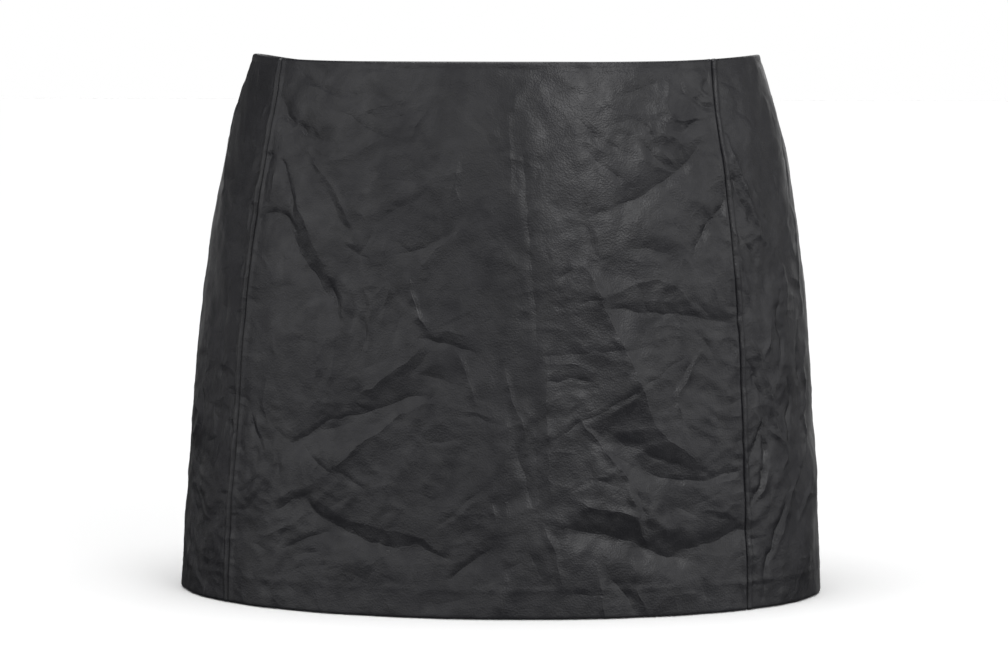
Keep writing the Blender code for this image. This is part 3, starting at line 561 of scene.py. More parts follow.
# Marks of the sewing, in millimetres: the groove under the waist edge, the ridge of the hem's
# turned-up edge and the swelling on both sides of a seam
GROOVE_DROP = 5.5
GROOVE_DEPTH = 0.30
GROOVE_HALF_WIDTH = 1.6
RIDGE_HEIGHT = 0.30
RIDGE_HALF_WIDTH = 1.8
SWELLING_AWAY = 2.3
SWELLING_HALF_WIDTH = 1.5

# Steps of a panel's grid, all even because its inner face takes every second point: along a
# turned band or an allowance, along the turned-up hem, round a roll, down the wall and across it
BAND_STEPS = 6
HEM_STEPS = 10
ROLL_STEPS = 8
WALL_ROWS = 264
WALL_COLUMNS = {"front": 234, "side": 164, "back": 140}

# The zip, as in the solids, in metres. The back panels stand apart over it, by twice the spread
# at the waist edge and by less and less further down.
ZIP_LENGTH = 0.180
ZIP_SPREAD = 0.0011
ZIP_SPREAD_DROP = 0.018
TAPE_DEPTH = 0.0017
TAPE_THICK = 0.0010
TAPE_WIDTH = 0.0120
LAYER_GAP = 0.0005
SLIDER_BELOW_EDGE = 0.009
SLIDER_HEIGHT = 0.0100
CLEARANCE = 0.0003

# Room for the zip, in metres: how far to each side of centre back the allowances are left out,
# how far below the tapes they start again, and how far from centre back the waist band stops
ZIP_ROOM = 0.02
ZIP_ROOM_BELOW = 0.004
WAIST_BAND_STOP = 0.0055

# The coils, in metres: how far they end from the chain's ends, the half width and the half depth
# of a turn, how far a turn's middle lies to the side and in from the gap under the tapes, and
# the points of a turn
COIL_END = 0.0005
COIL_HALF_WIDTH = 0.00105
COIL_HALF_DEPTH = 0.0005
COIL_ASIDE = 0.00085
COIL_LAYER = 0.0008
COIL_STEPS = 12

# How far the studio's floor lies under the hem, in metres
FLOOR_GAP = 0.0005


class ClothSettings(bpy.types.PropertyGroup):
    """Sizes and colours of the coated cloth."""

    thickness: FloatProperty(
        name="Thickness", description="Thickness of the coated cloth with its backing",
        default=0.0008, min=0.0003, max=0.0015, subtype="DISTANCE", unit="LENGTH", precision=5,
    )
    edge_radius: FloatProperty(
        name="Edge radius", description="Radius of the rolled waist edge and hem edge",
        default=0.0018, min=0.001, max=0.004, subtype="DISTANCE", unit="LENGTH", precision=5,
    )
    seam_radius: FloatProperty(
        name="Seam radius", description="Radius of the cloth's roll into a princess seam",
        default=0.0011, min=0.0004, max=0.002, subtype="DISTANCE", unit="LENGTH", precision=5,
    )
    seam_gap: FloatProperty(
        name="Seam gap", description="Gap between two panels where they are sewn together",
        default=0.00002, min=0.0, max=0.001, subtype="DISTANCE", unit="LENGTH", precision=5,
    )
    seam_allowance: FloatProperty(
        name="Seam allowance", description="Width of each seam allowance, pressed open inside",
        default=0.010, min=0.004, max=0.02, subtype="DISTANCE", unit="LENGTH", precision=4,
    )
    waist_turn_in: FloatProperty(
        name="Waist turn-in", description="Height of the cloth turned in at the waist",
        default=0.009, min=0.004, max=0.02, subtype="DISTANCE", unit="LENGTH", precision=4,
    )
    hem_turn_up: FloatProperty(
        name="Hem turn-up", description="Height of the cloth turned up at the hem",
        default=0.020, min=0.008, max=0.05, subtype="DISTANCE", unit="LENGTH", precision=4,
    )
    crease_strength: FloatProperty(
        name="Crease strength", description="Share of the full height of the creases",
        default=1.0, min=0.0, max=1.5, subtype="FACTOR",
    )
    crease_width: FloatProperty(
        name="Crease width", description="Share of the full width of the creases",
        default=0.62, min=0.2, max=1.5, subtype="FACTOR",
    )
    seam_ridge: FloatProperty(
        name="Seam ridge", description="Height of the cloth's swelling along each seam",
        default=0.0015, min=0.0, max=0.002, subtype="DISTANCE", unit="LENGTH", precision=5,
    )
    crumple_height: FloatProperty(
        name="Crumple height", description="Height of the small crumples between the creases",
        default=0.00042, min=0.0, max=0.002, subtype="DISTANCE", unit="LENGTH", precision=5,
    )
    coating_dark: StringProperty(
        name="Coating, dark", description="Darker colour of the coated face, as sRGB hex",
        default="#131316",
    )
    coating_light: StringProperty(
        name="Coating, light", description="Lighter colour of the coated face, as sRGB hex",
        default="#1c1c20",
    )
    backing: StringProperty(
        name="Backing", description="Colour of the woven backing inside, as sRGB hex",
        default="#262627",
    )


class ZipSettings(bpy.types.PropertyGroup):
    """Sizes and colours of the concealed zip."""

    length: FloatProperty(
        name="Length", description="Length of the zip from the waist edge to its stop",
        default=ZIP_LENGTH, min=0.1, max=0.25, subtype="DISTANCE", unit="LENGTH",
    )
    coil_pitch: FloatProperty(
        name="Coil pitch", description="Distance from one turn of the nylon coil to the next",
        default=0.00125, min=0.0008, max=0.003, subtype="DISTANCE", unit="LENGTH", precision=5,
    )
    coil_wire: FloatProperty(
        name="Coil wire", description="Diameter of the nylon coil's monofilament",
        default=0.00062, min=0.0003, max=0.001, subtype="DISTANCE", unit="LENGTH", precision=5,
    )
    tape: StringProperty(
        name="Tape", description="Colour of the woven tape, as sRGB hex", default="#1b1b1c",
    )
    nylon: StringProperty(
        name="Nylon", description="Colour of the nylon coil, as sRGB hex", default="#202021",
    )
    metal: StringProperty(
        name="Painted metal", description="Colour of the painted slider, as sRGB hex",
        default="#2c2d2f",
    )


class StageSettings(bpy.types.PropertyGroup):
    """The studio: floor, camera and lights."""

    camera_distance: FloatProperty(
        name="Camera distance", description="Distance of the camera from the skirt's axis",
        default=2.84, min=1.0, max=10.0, subtype="DISTANCE", unit="LENGTH",
    )
    camera_aside: FloatProperty(
        name="Camera aside", description="How far the camera stands to its left of the axis",
        default=0.001, min=-0.1, max=0.1, subtype="DISTANCE", unit="LENGTH", precision=4,
    )
    camera_turn: FloatProperty(
        name="Camera turn", description="How far round to the wearer's left the camera stands",
        default=math.radians(5.4), subtype="ANGLE", unit="ROTATION",
    )
    camera_pitch: FloatProperty(
        name="Camera pitch", description="How far the camera looks down",
        default=math.radians(4.13), subtype="ANGLE", unit="ROTATION",
    )
    camera_roll: FloatProperty(
        name="Camera roll", description="How far the camera leans over",
        default=math.radians(0.12), subtype="ANGLE", unit="ROTATION",
    )
    focal_length: FloatProperty(
        name="Focal length", description="Focal length on a sensor 36 mm wide, in millimetres",
        default=139.8, min=20.0, max=300.0,
    )
    walls_low: FloatProperty(
        name="Walls, low", description="Brightness of the studio's walls near the floor",
        default=0.22, min=0.0, max=2.0,
    )
    walls_high: FloatProperty(
        name="Walls, high", description="Brightness of the studio's walls high up",
        default=1.96, min=0.0, max=4.0,
    )
    opening: FloatProperty(
        name="Overhead light", description="Brightness of the bright opening overhead",
        default=4.05, min=0.0, max=20.0,
    )
    opening_angle: FloatProperty(
        name="Overhead angle", description="How wide the bright opening overhead is seen",
        default=math.radians(56), subtype="ANGLE", unit="ROTATION",
    )
    opening_lean: FloatProperty(
        name="Overhead lean", description="How far the opening's middle leans to the front",
        default=math.radians(3), subtype="ANGLE", unit="ROTATION",
    )
    floor: StringProperty(
        name="Floor", description="Colour of the floor, as sRGB hex", default="#f0f0f0",
    )


def linear(hex_colour):
    """An sRGB hex colour as linear red, green, blue and a full alpha."""
    share = [int(hex_colour[i:i + 2], 16) / 255 for i in (1, 3, 5)]
    return tuple(c / 12.92 if c <= 0.04045 else ((c + 0.055) / 1.055) ** 2.4 for c in share) + (1.0,)


def add_node(material, kind, inputs=(), **settings):
    """A shader node with its settings, its socket values and its links from other sockets."""
    tree = material.node_tree
    node = tree.nodes.new(kind)
    for key, value in settings.items():
        setattr(node, key, value)
    for key, value in inputs:
        if isinstance(value, bpy.types.NodeSocket):
            tree.links.new(value, node.inputs[key])
        else:
            node.inputs[key].default_value = value
    return node


def new_material(name):
    """An empty node material and its Principled shader."""
    material = bpy.data.materials.new(name)
    material.use_nodes = True
    return material, material.node_tree.nodes["Principled BSDF"]


# The form of the cloth

def section_value(drop, column):
    """One column of SECTIONS at any drop: a cubic Hermite curve through its rows."""
    knots = SECTIONS[:, 0]
    values = SECTIONS[:, column]
    slopes = np.gradient(values, knots)
    drop = np.clip(drop, knots[0], knots[-1])
    row = np.clip(np.searchsorted(knots, drop) - 1, 0, len(knots) - 2)
    step = knots[row + 1] - knots[row]
    u = (drop - knots[row]) / step
    start = values[row] * (1 + 2 * u) * (1 - u) ** 2 + slopes[row] * step * u * (1 - u) ** 2
    end = values[row + 1] * u * u * (3 - 2 * u) - slopes[row + 1] * step * u * u * (1 - u)
    return start + end


def section_sizes(turn, drop):
    """Half width, and the depth on the side where the turn lies, front or back."""
    return section_value(drop, 1), np.where(
        np.cos(turn) > 0, section_value(drop, 2), section_value(drop, 3)
    )


def smooth_form(turn, drop):
    """Two half ellipses on one half width: x = half width sin turn, y = -depth cos turn."""
    half_width, depth = section_sizes(turn, drop)
    x = half_width * np.sin(turn) - LEAN * drop / HEM_DROP
    y = -depth * np.cos(turn)
    return np.stack([x, y, -drop], axis=-1)


def outward(turn, drop):
    """Unit vector out of the cloth: the cross product of the form's slopes down and round."""
    step = 1e-4
    drop = np.clip(drop, step, HEM_DROP - step)
    round_it = smooth_form(turn + step, drop) - smooth_form(turn - step, drop)
    down_it = smooth_form(turn, drop + step) - smooth_form(turn, drop - step)
    normal = np.cross(down_it, round_it)
    return normal / np.linalg.norm(normal, axis=-1, keepdims=True)


def distance_round(turn, drop, centre):
    """Millimetres round the cloth from centre front or back: mean radius times turn, and a wave
    of a quarter of the radii's difference times the sine of twice the turn."""
    half_width, depth = section_sizes(turn, drop)
    size = np.abs(turn)
    to_side = (half_width + section_value(drop, 2)) / 2 * QUARTER
    wave = (half_width - depth) / 4 * np.sin(2 * size)
    mean = (half_width + depth) / 2
    from_front = np.where(size < QUARTER, mean * size, to_side + mean * (size - QUARTER)) + wave
    if centre == "front":
        return np.sign(turn) * from_front / MM
    to_back = to_side + (half_width + section_value(drop, 3)) / 2 * QUARTER
    return np.sign(turn) * (to_back - from_front) / MM


def waist_drop(turn):
    """The waist edge: level at the sides, with a flat dip at centre front and centre back."""
    dip = np.where(np.cos(turn) > 0, WAIST_DIP_FRONT, WAIST_DIP_BACK)
    return dip * (1 - np.abs(np.sin(turn)) ** WAIST_DIP_POWER)


def as_angle(distance, turn, drop):
    """A small distance round the cloth as an angle."""
    half_width, depth = section_sizes(turn, drop)
    return distance / np.hypot(half_width * np.cos(turn), depth * np.sin(turn))


def seam_turn(seam, drop):
    """Turn of a princess seam: a steady angle with a flare at the waist, and its small strays."""
    angle = SEAM_ANGLE + SEAM_FLARE * np.exp(-np.maximum(drop, 0) / SEAM_FLARE_DROP)
    turn = angle if seam.startswith("front") else math.pi - angle
    stray = np.zeros(np.shape(drop))
    for name, at, half_height, shift in SEAM_STRAYS:
        if name == seam:
            stray = stray + shift * MM * np.exp(-((drop / MM - at) / half_height) ** 2)
    turn = turn if seam.endswith("left") else -turn
    return turn + as_angle(stray, turn, drop)


# Folds, creases and crumples, in millimetres

def fold_height(turn, drop):
    """The solids' folds: gaussian banks round the line between each fold's ends."""
    height = np.zeros(np.broadcast(turn, drop).shape)
    down = drop / MM
    for centre, round_1, drop_1, round_2, drop_2, half_width, peak in FOLDS:
        across = distance_round(turn, drop, centre) - round_1
        along = down - drop_1
        run = np.array([round_2 - round_1, drop_2 - drop_1], dtype=float)
        share = np.clip((across * run[0] + along * run[1]) / (run @ run), 0, 1)
        away = np.hypot(across - share * run[0], along - share * run[1])
        height += peak * np.exp(-(away / half_width) ** 2)
    return height


def smooth_route(route, steps=4):
    """A Catmull-Rom curve through a crease's points, read at a few steps between each two."""
    points = np.array(route, dtype=float)
    ends = [2 * points[0] - points[1], *points, 2 * points[-1] - points[-2]]
    p = np.array(ends)
    u = (np.arange(steps) / steps)[:, None, None]
    a, b, c, d = p[:-3], p[1:-2], p[2:-1], p[3:]
    curve = 0.5 * (
        2 * b + (c - a) * u + (2 * a - 5 * b + 4 * c - d) * u ** 2 + (3 * b - a - 3 * c + d) * u ** 3
    )
    return np.concatenate([curve.transpose(1, 0, 2).reshape(-1, 3), points[-1:]])


def add_crease(height, crisp, across, down, crease):
    """Adds one crease to heights at places across and down: over the nearest point of its route
    it stands its own share of its peak, and it falls off with a rounded crest, with one half
    width on its left and another on its right, both narrower where it is lower. Where it is the
    nearest crease so far, crisp keeps the distance from its route, positive on its right, and
    its height there."""
    peak, left_width, right_width, route = crease
    line = smooth_route(route)
    reach = CREASE_REACH * max(left_width, right_width)
    low, high = line[:, :2].min(0) - reach, line[:, :2].max(0) + reach
    near = (across > low[0]) & (across < high[0]) & (down > low[1]) & (down < high[1])
    if not near.any():
        return
    place = np.stack([across[near], down[near]], axis=-1)[:, None]
    start, run = line[:-1, :2], np.diff(line[:, :2], axis=0)
    offset = place - start
    share = np.clip((offset * run).sum(-1) / (run ** 2).sum(-1), 0, 1)
    away = offset - share[..., None] * run
    distance = np.hypot(away[..., 0], away[..., 1])
    nearest = distance.argmin(1)
    row = np.arange(len(nearest))
    at = share[row, nearest]
    strength = line[nearest, 2] * (1 - at) + line[nearest + 1, 2] * at
    cross = run[nearest, 0] * away[row, nearest, 1] - run[nearest, 1] * away[row, nearest, 0]
    width = np.where(cross > 0, right_width, left_width)
    width = width * (LOW_WIDTH + (1 - LOW_WIDTH) * strength)
    distance = distance[row, nearest]
    rounded = np.hypot(distance / width, CREST) - CREST
    height[near] += peak * strength * np.exp(-CREASE_FALL * rounded)
    closer = distance < np.abs(crisp[0][near])
    crisp[0][near] = np.where(closer, np.where(cross > 0, distance, -distance), crisp[0][near])
    crisp[1][near] = np.where(closer, peak * strength, crisp[1][near])


def cloth_noise(across, down, seed):
    """Smooth random heights between -1 and 1: gradient noise on a lattice one unit wide."""
    angle = np.random.default_rng(seed).uniform(0, 2 * math.pi, (64, 64))
    column, row = np.floor(across).astype(int), np.floor(down).astype(int)
    u, v = across - column, down - row

    def corner(right, below):
        turn = angle[(row + below) % 64, (column + right) % 64]
        return np.cos(turn) * (u - right) + np.sin(turn) * (v - below)

    fade_u = u ** 3 * (u * (6 * u - 15) + 10)
    fade_v = v ** 3 * (v * (6 * v - 15) + 10)
    top = corner(0, 0) * (1 - fade_u) + corner(1, 0) * fade_u
    bottom = corner(0, 1) * (1 - fade_u) + corner(1, 1) * fade_u
    return 1.5 * (top * (1 - fade_v) + bottom * fade_v)


def crumple_height(turn, drop):
    """Small crumples on soft swells. The crumples are ridged noise, one less twice its size, at
    two scales, with plain noise at a third. All the places are pushed about by slower noise, and
    the crumples are stronger or weaker where CRUMPLED says so."""
    across, down = distance_round(turn, drop, "front"), drop / MM
    push = 9 * cloth_noise(across / 47, down / 47, 5)
    pull = 9 * cloth_noise(across / 53, down / 53, 6)
    ridges = 1 - 2 * np.abs(cloth_noise((across + push) / 26, (down + pull) / 20, 7))
    finer = 1 - 2 * np.abs(cloth_noise((across + pull) / 12, (down - push) / 10, 8))
    finest = cloth_noise((across + push) / 5.2, (down + push) / 4.6, 9)
    strength = np.full(across.shape, 0.75)
    for centre, round_at, drop_at, radius_round, radius_down, more in CRUMPLED:
        away = (distance_round(turn, drop, centre) - round_at) / radius_round
        strength += more * np.exp(-away ** 2 - ((down - drop_at) / radius_down) ** 2)
    patches = 0.7 + 0.6 * cloth_noise(across / 38, down / 38, 10)
    swells = 2.4 * cloth_noise((across + push) / 30, (down + pull) / 46, 15)
    swells += 0.9 * cloth_noise((across + pull) / 13, (down + push) / 19, 16)
    return swells + np.clip(strength, 0.15, 2.2) * patches * (ridges + 0.4 * finer + 0.12 * finest)


def seam_puckers():
    """Short creases that run out of each princess seam, uneven in place, length and height."""
    draw = np.random.default_rng(21)
    puckers = []
    for centre, side in (("front", 1), ("front", -1), ("back", 1), ("back", -1)):
        drop = 14.0
        while drop < LOWEST_RANDOM:
            for away in (-1, 1):
                if draw.random() < 0.62:
                    turn = seam_turn(centre + "_left", drop * MM)
                    start = side * distance_round(turn, drop * MM, centre)
                    length = draw.uniform(4, 15)
                    rise = draw.uniform(-5, 5)
                    begin = start + away * 1.2
                    end = begin + away * length
                    route = (
                        (begin, drop, 0.9), ((begin + end) / 2, drop + rise * 0.3, 1),
                        (end, drop + rise, 0.1),
                    )
                    width = draw.uniform(1.6, 3.0)
                    peak = draw.choice((-1, 1)) * draw.uniform(0.12, 0.42)
                    puckers.append((centre, peak, width, width, route))
            drop += draw.uniform(3.5, 12)
    return puckers


def scattered_creases():
    """Faint creases all over the cloth, each curved, a third of them upright and higher, drawn
    with a fixed seed."""
    draw = np.random.default_rng(4)
    creases = []
    for number in range(SCATTERED_COUNT):
        centre = draw.choice(("front", "back"))
        x = draw.uniform(-300, 300)
        y = draw.uniform(12, LOWEST_RANDOM)
        upright = number % 3 == 0
        heading = draw.normal(math.pi / 2 if upright else 0, 0.25 if upright else 0.6)
        length = draw.uniform(9, 40)
        bend = draw.normal(0, 0.3)
        step = np.array([math.cos(heading), math.sin(heading)]) * length / 2
        turned = np.array([math.cos(heading + bend), math.sin(heading + bend)]) * length / 2
        route = (
            (x, y, 0.2), (x + step[0], y + step[1], 1),
            (x + step[0] + turned[0], y + step[1] + turned[1], 0.2),
        )
        narrow = draw.uniform(1.5, 2.6)
        peak = draw.choice((-1, 1)) * draw.uniform(0.08, 0.32) * (1.8 if upright else 1)
        creases.append((centre, peak, narrow, narrow * draw.uniform(1, 2.2), route))
    return creases


def full_route(route):
    """A crease's route with a share of its height at every point."""
    ends = 0, len(route) - 1
    return [
        point if len(point) == 3 else (*point, END_SHARE if place in ends else 1)
        for place, point in enumerate(route)
    ]


@functools.cache
def all_creases():
    """The listed creases, the puckers of the seams and the scattered ones: for each its
    centre, its height, its half widths on the left and on the right, and its route."""
    placed = [
        (centre, peak, left, right, full_route(route))
        for centre, rows in (("front", FRONT_CREASES), ("back", BACK_CREASES))
        for peak, left, right, route in rows
    ]
    return placed + seam_puckers() + scattered_creases()


def crease_height(turn, drop, settings):
    """Every crease and crumple together, calmer at the waist edge, along the seams and at the
    zip, and the crisp line of each crease: its distance and its height."""
    height = np.zeros(turn.shape)
    crisp = [np.full(turn.shape, np.inf), np.zeros(turn.shape)]
    down = drop / MM
    round_from = {centre: distance_round(turn, drop, centre) for centre in ("front", "back")}
    across = round_from["front"]
    sideways = 1.5 * cloth_noise(across / 13, down / 13, 1) + 0.6 * cloth_noise(across / 5, down / 5, 2)
    downwards = 1.5 * cloth_noise(across / 12, down / 12, 3) + 0.6 * cloth_noise(across / 5, down / 5, 4)
    for centre, peak, left_width, right_width, route in all_creases():
        widths = left_width * settings.crease_width, right_width * settings.crease_width
        add_crease(height, crisp, round_from[centre] + sideways, down + downwards, (peak, *widths, route))
    crisp[1] = np.where(np.abs(crisp[0]) < CRISP_REACH, crisp[1], 0)
    uneven = np.clip(1 + 0.7 * cloth_noise(across / 10, down / 10, 13), 0.4, 1.6)
    height, crisp[1] = height * uneven, crisp[1] * uneven
    height *= settings.crease_strength
    height += settings.crumple_height / MM * crumple_height(turn, drop)
    below_edge = (drop - waist_drop(turn)) / MM
    calm = 1 - 0.8 * np.exp(-(below_edge / CALM_BELOW_EDGE) ** 2)
    for seam in ("front_left", "front_right", "back_left", "back_right"):
        away = (turn - seam_turn(seam, drop)) / as_angle(MM, turn, drop)
        calm = calm * (1 - 0.45 * np.exp(-(away / CALM_BESIDE_SEAM) ** 2))
    beside_zip = np.exp(-(round_from["back"] / CALM_BESIDE_ZIP) ** 4) * (down < CALM_DROP)
    calm = calm * (1 - 0.9 * beside_zip)
    return height * calm, (np.clip(crisp[0], -2 * CRISP_REACH, 2 * CRISP_REACH), crisp[1] * calm)


def edge_height(turn, drop, settings):
    """Marks of the sewing: a shallow groove under the waist edge, a faint uneven ridge where the
    hem's turned-up edge lies under the cloth, and a swelling along both sides of each seam."""
    across, down = distance_round(turn, drop, "front"), drop / MM
    below_edge = down - waist_drop(turn) / MM
    groove = -GROOVE_DEPTH * np.exp(-((below_edge - GROOVE_DROP) / GROOVE_HALF_WIDTH) ** 2)
    ridge_at = (HEM_DROP - settings.hem_turn_up) / MM + 0.6 * cloth_noise(across / 30, down * 0, 11)
    uneven = 0.6 + 0.5 * cloth_noise(across / 22, down * 0 + 3.5, 12)
    ridge = RIDGE_HEIGHT * uneven * np.exp(-((down - ridge_at) / RIDGE_HALF_WIDTH) ** 2)
    # Each seam's swelling counts on the left and on the right, so a seam shows the sum of two
    swelling = np.zeros(turn.shape)
    for row, seam in enumerate(("front_left", "front_right", "back_left", "back_right")):
        away = (np.abs(turn) - np.abs(seam_turn(seam, drop))) / as_angle(MM, turn, drop)
        on_side_panel = (away > 0) == seam.startswith("front")
        varied = 0.4 + 0.25 * cloth_noise(down / 15, across * 0 + row + 0.5, 14)
        varied = varied * np.where(on_side_panel, 1.3, 0.8)
        swelling += varied * np.exp(-((np.abs(away) - SWELLING_AWAY) / SWELLING_HALF_WIDTH) ** 2)
    return groove + ridge + settings.seam_ridge / MM * swelling


def cloth_point(turn, drop, depth, settings):
    """A point of the cloth, so far under its coated face, along the smooth form's normal, with
    the crisp line of the crease that is nearest to it."""
    creased, crisp = crease_height(turn, drop, settings)
    lift = fold_height(turn, drop) + creased + edge_height(turn, drop, settings)
    point = smooth_form(turn, np.clip(drop, 0, HEM_DROP))
    point[..., 2] = -drop
    return point + outward(turn, drop) * (lift * MM - depth)[..., None], crisp


# Panels

def panel_edges(name, drop, settings):
    """The turns of a panel's two edges at each drop, half a seam gap in from the seam lines, and
    at centre back also the zip's spread."""
    half_gap = as_angle(settings.seam_gap / 2, SEAM_ANGLE, drop)
    spread = ZIP_SPREAD * np.exp(-(drop - WAIST_DIP_BACK) / ZIP_SPREAD_DROP)
    centre_gap = as_angle(spread + settings.seam_gap / 2, math.pi, drop)
    front_left, front_right = seam_turn("front_left", drop), seam_turn("front_right", drop)
    back_left, back_right = seam_turn("back_left", drop), seam_turn("back_right", drop)
    return {
        "front_panel": (front_right + half_gap, front_left - half_gap),
        "side_panel_left": (front_left + half_gap, back_left - half_gap),
        "side_panel_right": (back_right + half_gap, front_right - half_gap),
        "back_panel_left": (back_left + half_gap, math.pi - centre_gap),
        "back_panel_right": (centre_gap - math.pi, back_right - half_gap),
    }[name]


def fold_profile(before, bend, wall, radius, band_before, band_after, after):
    """A wall between two turned bands: for each place its share of the wall, its fold angle, its
    way along a band, and the side of its roll, +1 at the first and -1 at the last."""
    ones = np.ones
    share = np.concatenate([0 * ones(before + bend), np.linspace(0, 1, wall + 1), ones(bend + after)])
    rolling = np.linspace(math.pi, 0, bend + 1)
    fold = np.concatenate([
        math.pi * ones(before), rolling[:-1], 0 * ones(wall + 1), rolling[::-1][1:], math.pi * ones(after)
    ])
    band = np.concatenate([
        np.linspace(band_before - radius, 0, before + 1)[:-1], 0 * ones(2 * bend + wall + 1),
        np.linspace(0, radius - band_after, after + 1)[1:],
    ])
    return share, fold, band, 1 - 2 * share


def panel_grid(name, columns, rows, settings, under):
    """Points of one face of a panel, so far under its coated face. Its columns roll into the
    seams and lie back as seam allowances, its rows roll over the waist edge and the hem and lie
    inside as turned bands: on a roll, a point lies at the roll's radius less its own depth."""
    share_across, fold_across, band_across, side_across = (a[None, :] for a in columns)
    share_down, fold_down, band_down, side_down = (a[:, None] for a in rows)
    roll, edge_roll = settings.seam_radius, settings.edge_radius
    reach = band_across + side_across * (roll - (roll - under) * np.sin(fold_across))
    sunk = roll - (roll - under) * np.cos(fold_across)
    depth = edge_roll - (edge_roll - sunk) * np.cos(fold_down)
    roll_drop = side_down * (edge_roll - (edge_roll - sunk) * np.sin(fold_down)) + band_down
    drop = share_down * HEM_DROP + 0 * reach
    for _ in range(2):
        start, end = panel_edges(name, drop, settings)
        turn = start * (1 - share_across) + end * share_across
        turn = turn + as_angle(reach, turn, drop)
        edge = waist_drop(turn)
        drop = edge + (HEM_DROP - edge) * share_down + roll_drop
    return turn, drop, *cloth_point(turn, drop, depth, settings)


def kept_cells(name, turn, drop, columns, rows):
    """Which coarse cells are cloth: seam allowances stop short of the waist and hem rolls and of
    the zip, and the turned waist band stops short of the zip."""
    # Allowances stop at this share of the wall from its ends, and a band starts at this fold
    edge_share, band_fold = 0.012, 2.2
    fold_across, share_down, fold_down = columns[1], rows[0], rows[1]
    flap = (np.maximum(fold_across[:-2:2], fold_across[2::2]) > QUARTER * 1.01)[None, :]
    rolled = (np.maximum(fold_down[:-2:2], fold_down[2::2]) > 0.01)[:, None]
    near_edge = (share_down[:-2:2] < edge_share) | (share_down[2::2] > 1 - edge_share)
    keep = ~(flap & (rolled | near_edge[:, None]))
    if name.startswith("back"):
        from_centre = np.abs(distance_round(turn, drop, "back")[1::2, 1::2]) * MM
        down = drop[1::2, 1::2]
        tape_end = WAIST_DIP_BACK + ZIP_LENGTH + TAPE_WIDTH
        keep &= ~(flap & (from_centre < ZIP_ROOM) & (down < tape_end + ZIP_ROOM_BELOW))
        turned_in = (fold_down[1::2, None] > band_fold) & (share_down[1::2, None] < 0.5)
        keep &= ~(turned_in & (from_centre < WAIST_BAND_STOP))
    return keep


def shell_mesh(name, outer, inner, keep, crisp):
    """A closed shell: a fine outer grid, an inner grid of every second point turned the other
    way, and three triangles along each edge of a coarse cell where the cloth ends. Its points
    carry the crisp crease lines: distance in millimetres, and height in millimetres."""
    fine = np.arange(outer.shape[0] * outer.shape[1]).reshape(outer.shape[:2])
    coarse = fine.size + np.arange(inner.shape[0] * inner.shape[1]).reshape(inner.shape[:2])
    kept = keep.repeat(2, 0).repeat(2, 1)
    quads_out = np.stack([fine[:-1, :-1], fine[1:, :-1], fine[1:, 1:], fine[:-1, 1:]], -1)[kept]
    quads_in = np.stack(
        [coarse[:-1, :-1], coarse[:-1, 1:], coarse[1:, 1:], coarse[1:, :-1]], -1
    )[keep]
    none = np.zeros_like(keep)
    above, below, before, after = none.copy(), none.copy(), none.copy(), none.copy()
    above[1:], below[:-1] = keep[:-1], keep[1:]
    before[:, 1:], after[:, :-1] = keep[:, :-1], keep[:, 1:]
    f00, f01, f02 = fine[:-2:2, :-2:2], fine[:-2:2, 1::2], fine[:-2:2, 2::2]
    f10, f12 = fine[1::2, :-2:2], fine[1::2, 2::2]
    f20, f21, f22 = fine[2::2, :-2:2], fine[2::2, 1::2], fine[2::2, 2::2]
    c00, c02, c20, c22 = coarse[:-1, :-1], coarse[:-1, 1:], coarse[1:, :-1], coarse[1:, 1:]
    rims = []
    for ends, corners in (
        (keep & ~above, (f00, f01, f02, c00, c02)),
        (keep & ~below, (f22, f21, f20, c22, c20)),
        (keep & ~before, (f20, f10, f00, c20, c00)),
        (keep & ~after, (f02, f12, f22, c02, c22)),
    ):
        a, b, c, under_a, under_c = (corner[ends] for corner in corners)
        rims += [np.stack(t, -1) for t in ((a, b, under_a), (b, under_c, under_a), (b, c, under_c))]
    rims = np.concatenate(rims)
    points = np.concatenate([outer.reshape(-1, 3), inner.reshape(-1, 3)])
    faces = np.concatenate([quads_out.ravel(), quads_in.ravel(), rims.ravel()])
    used, index = np.unique(faces, return_inverse=True)
    sides = np.concatenate([np.full(len(quads_out) + len(quads_in), 4), np.full(len(rims), 3)])
    mesh = bpy.data.meshes.new(name)
    mesh.vertices.add(len(used))
    mesh.vertices.foreach_set("co", points[used].astype(np.float32).ravel())
    mesh.loops.add(len(index))
    mesh.loops.foreach_set("vertex_index", index.astype(np.int32).ravel())
    mesh.polygons.add(len(sides))
    mesh.polygons.foreach_set("loop_start", np.concatenate([[0], np.cumsum(sides)[:-1]]).astype(np.int32))
    slot = np.concatenate([np.zeros(len(quads_out)), np.ones(len(quads_in) + len(rims))])
    mesh.polygons.foreach_set("material_index", slot.astype(np.int32))
    mesh.update(calc_edges=True)
    for label, values in zip(("crease_distance", "crease_height"), crisp):
        values = np.concatenate([values.ravel(), np.zeros(coarse.size)])[used]
        mesh.attributes.new(label, "FLOAT", "POINT").data.foreach_set("value", values.astype(np.float32))
    mesh.validate()
    mesh.shade_smooth()
    mesh.set_sharp_from_angle(angle=math.radians(75))
    return mesh


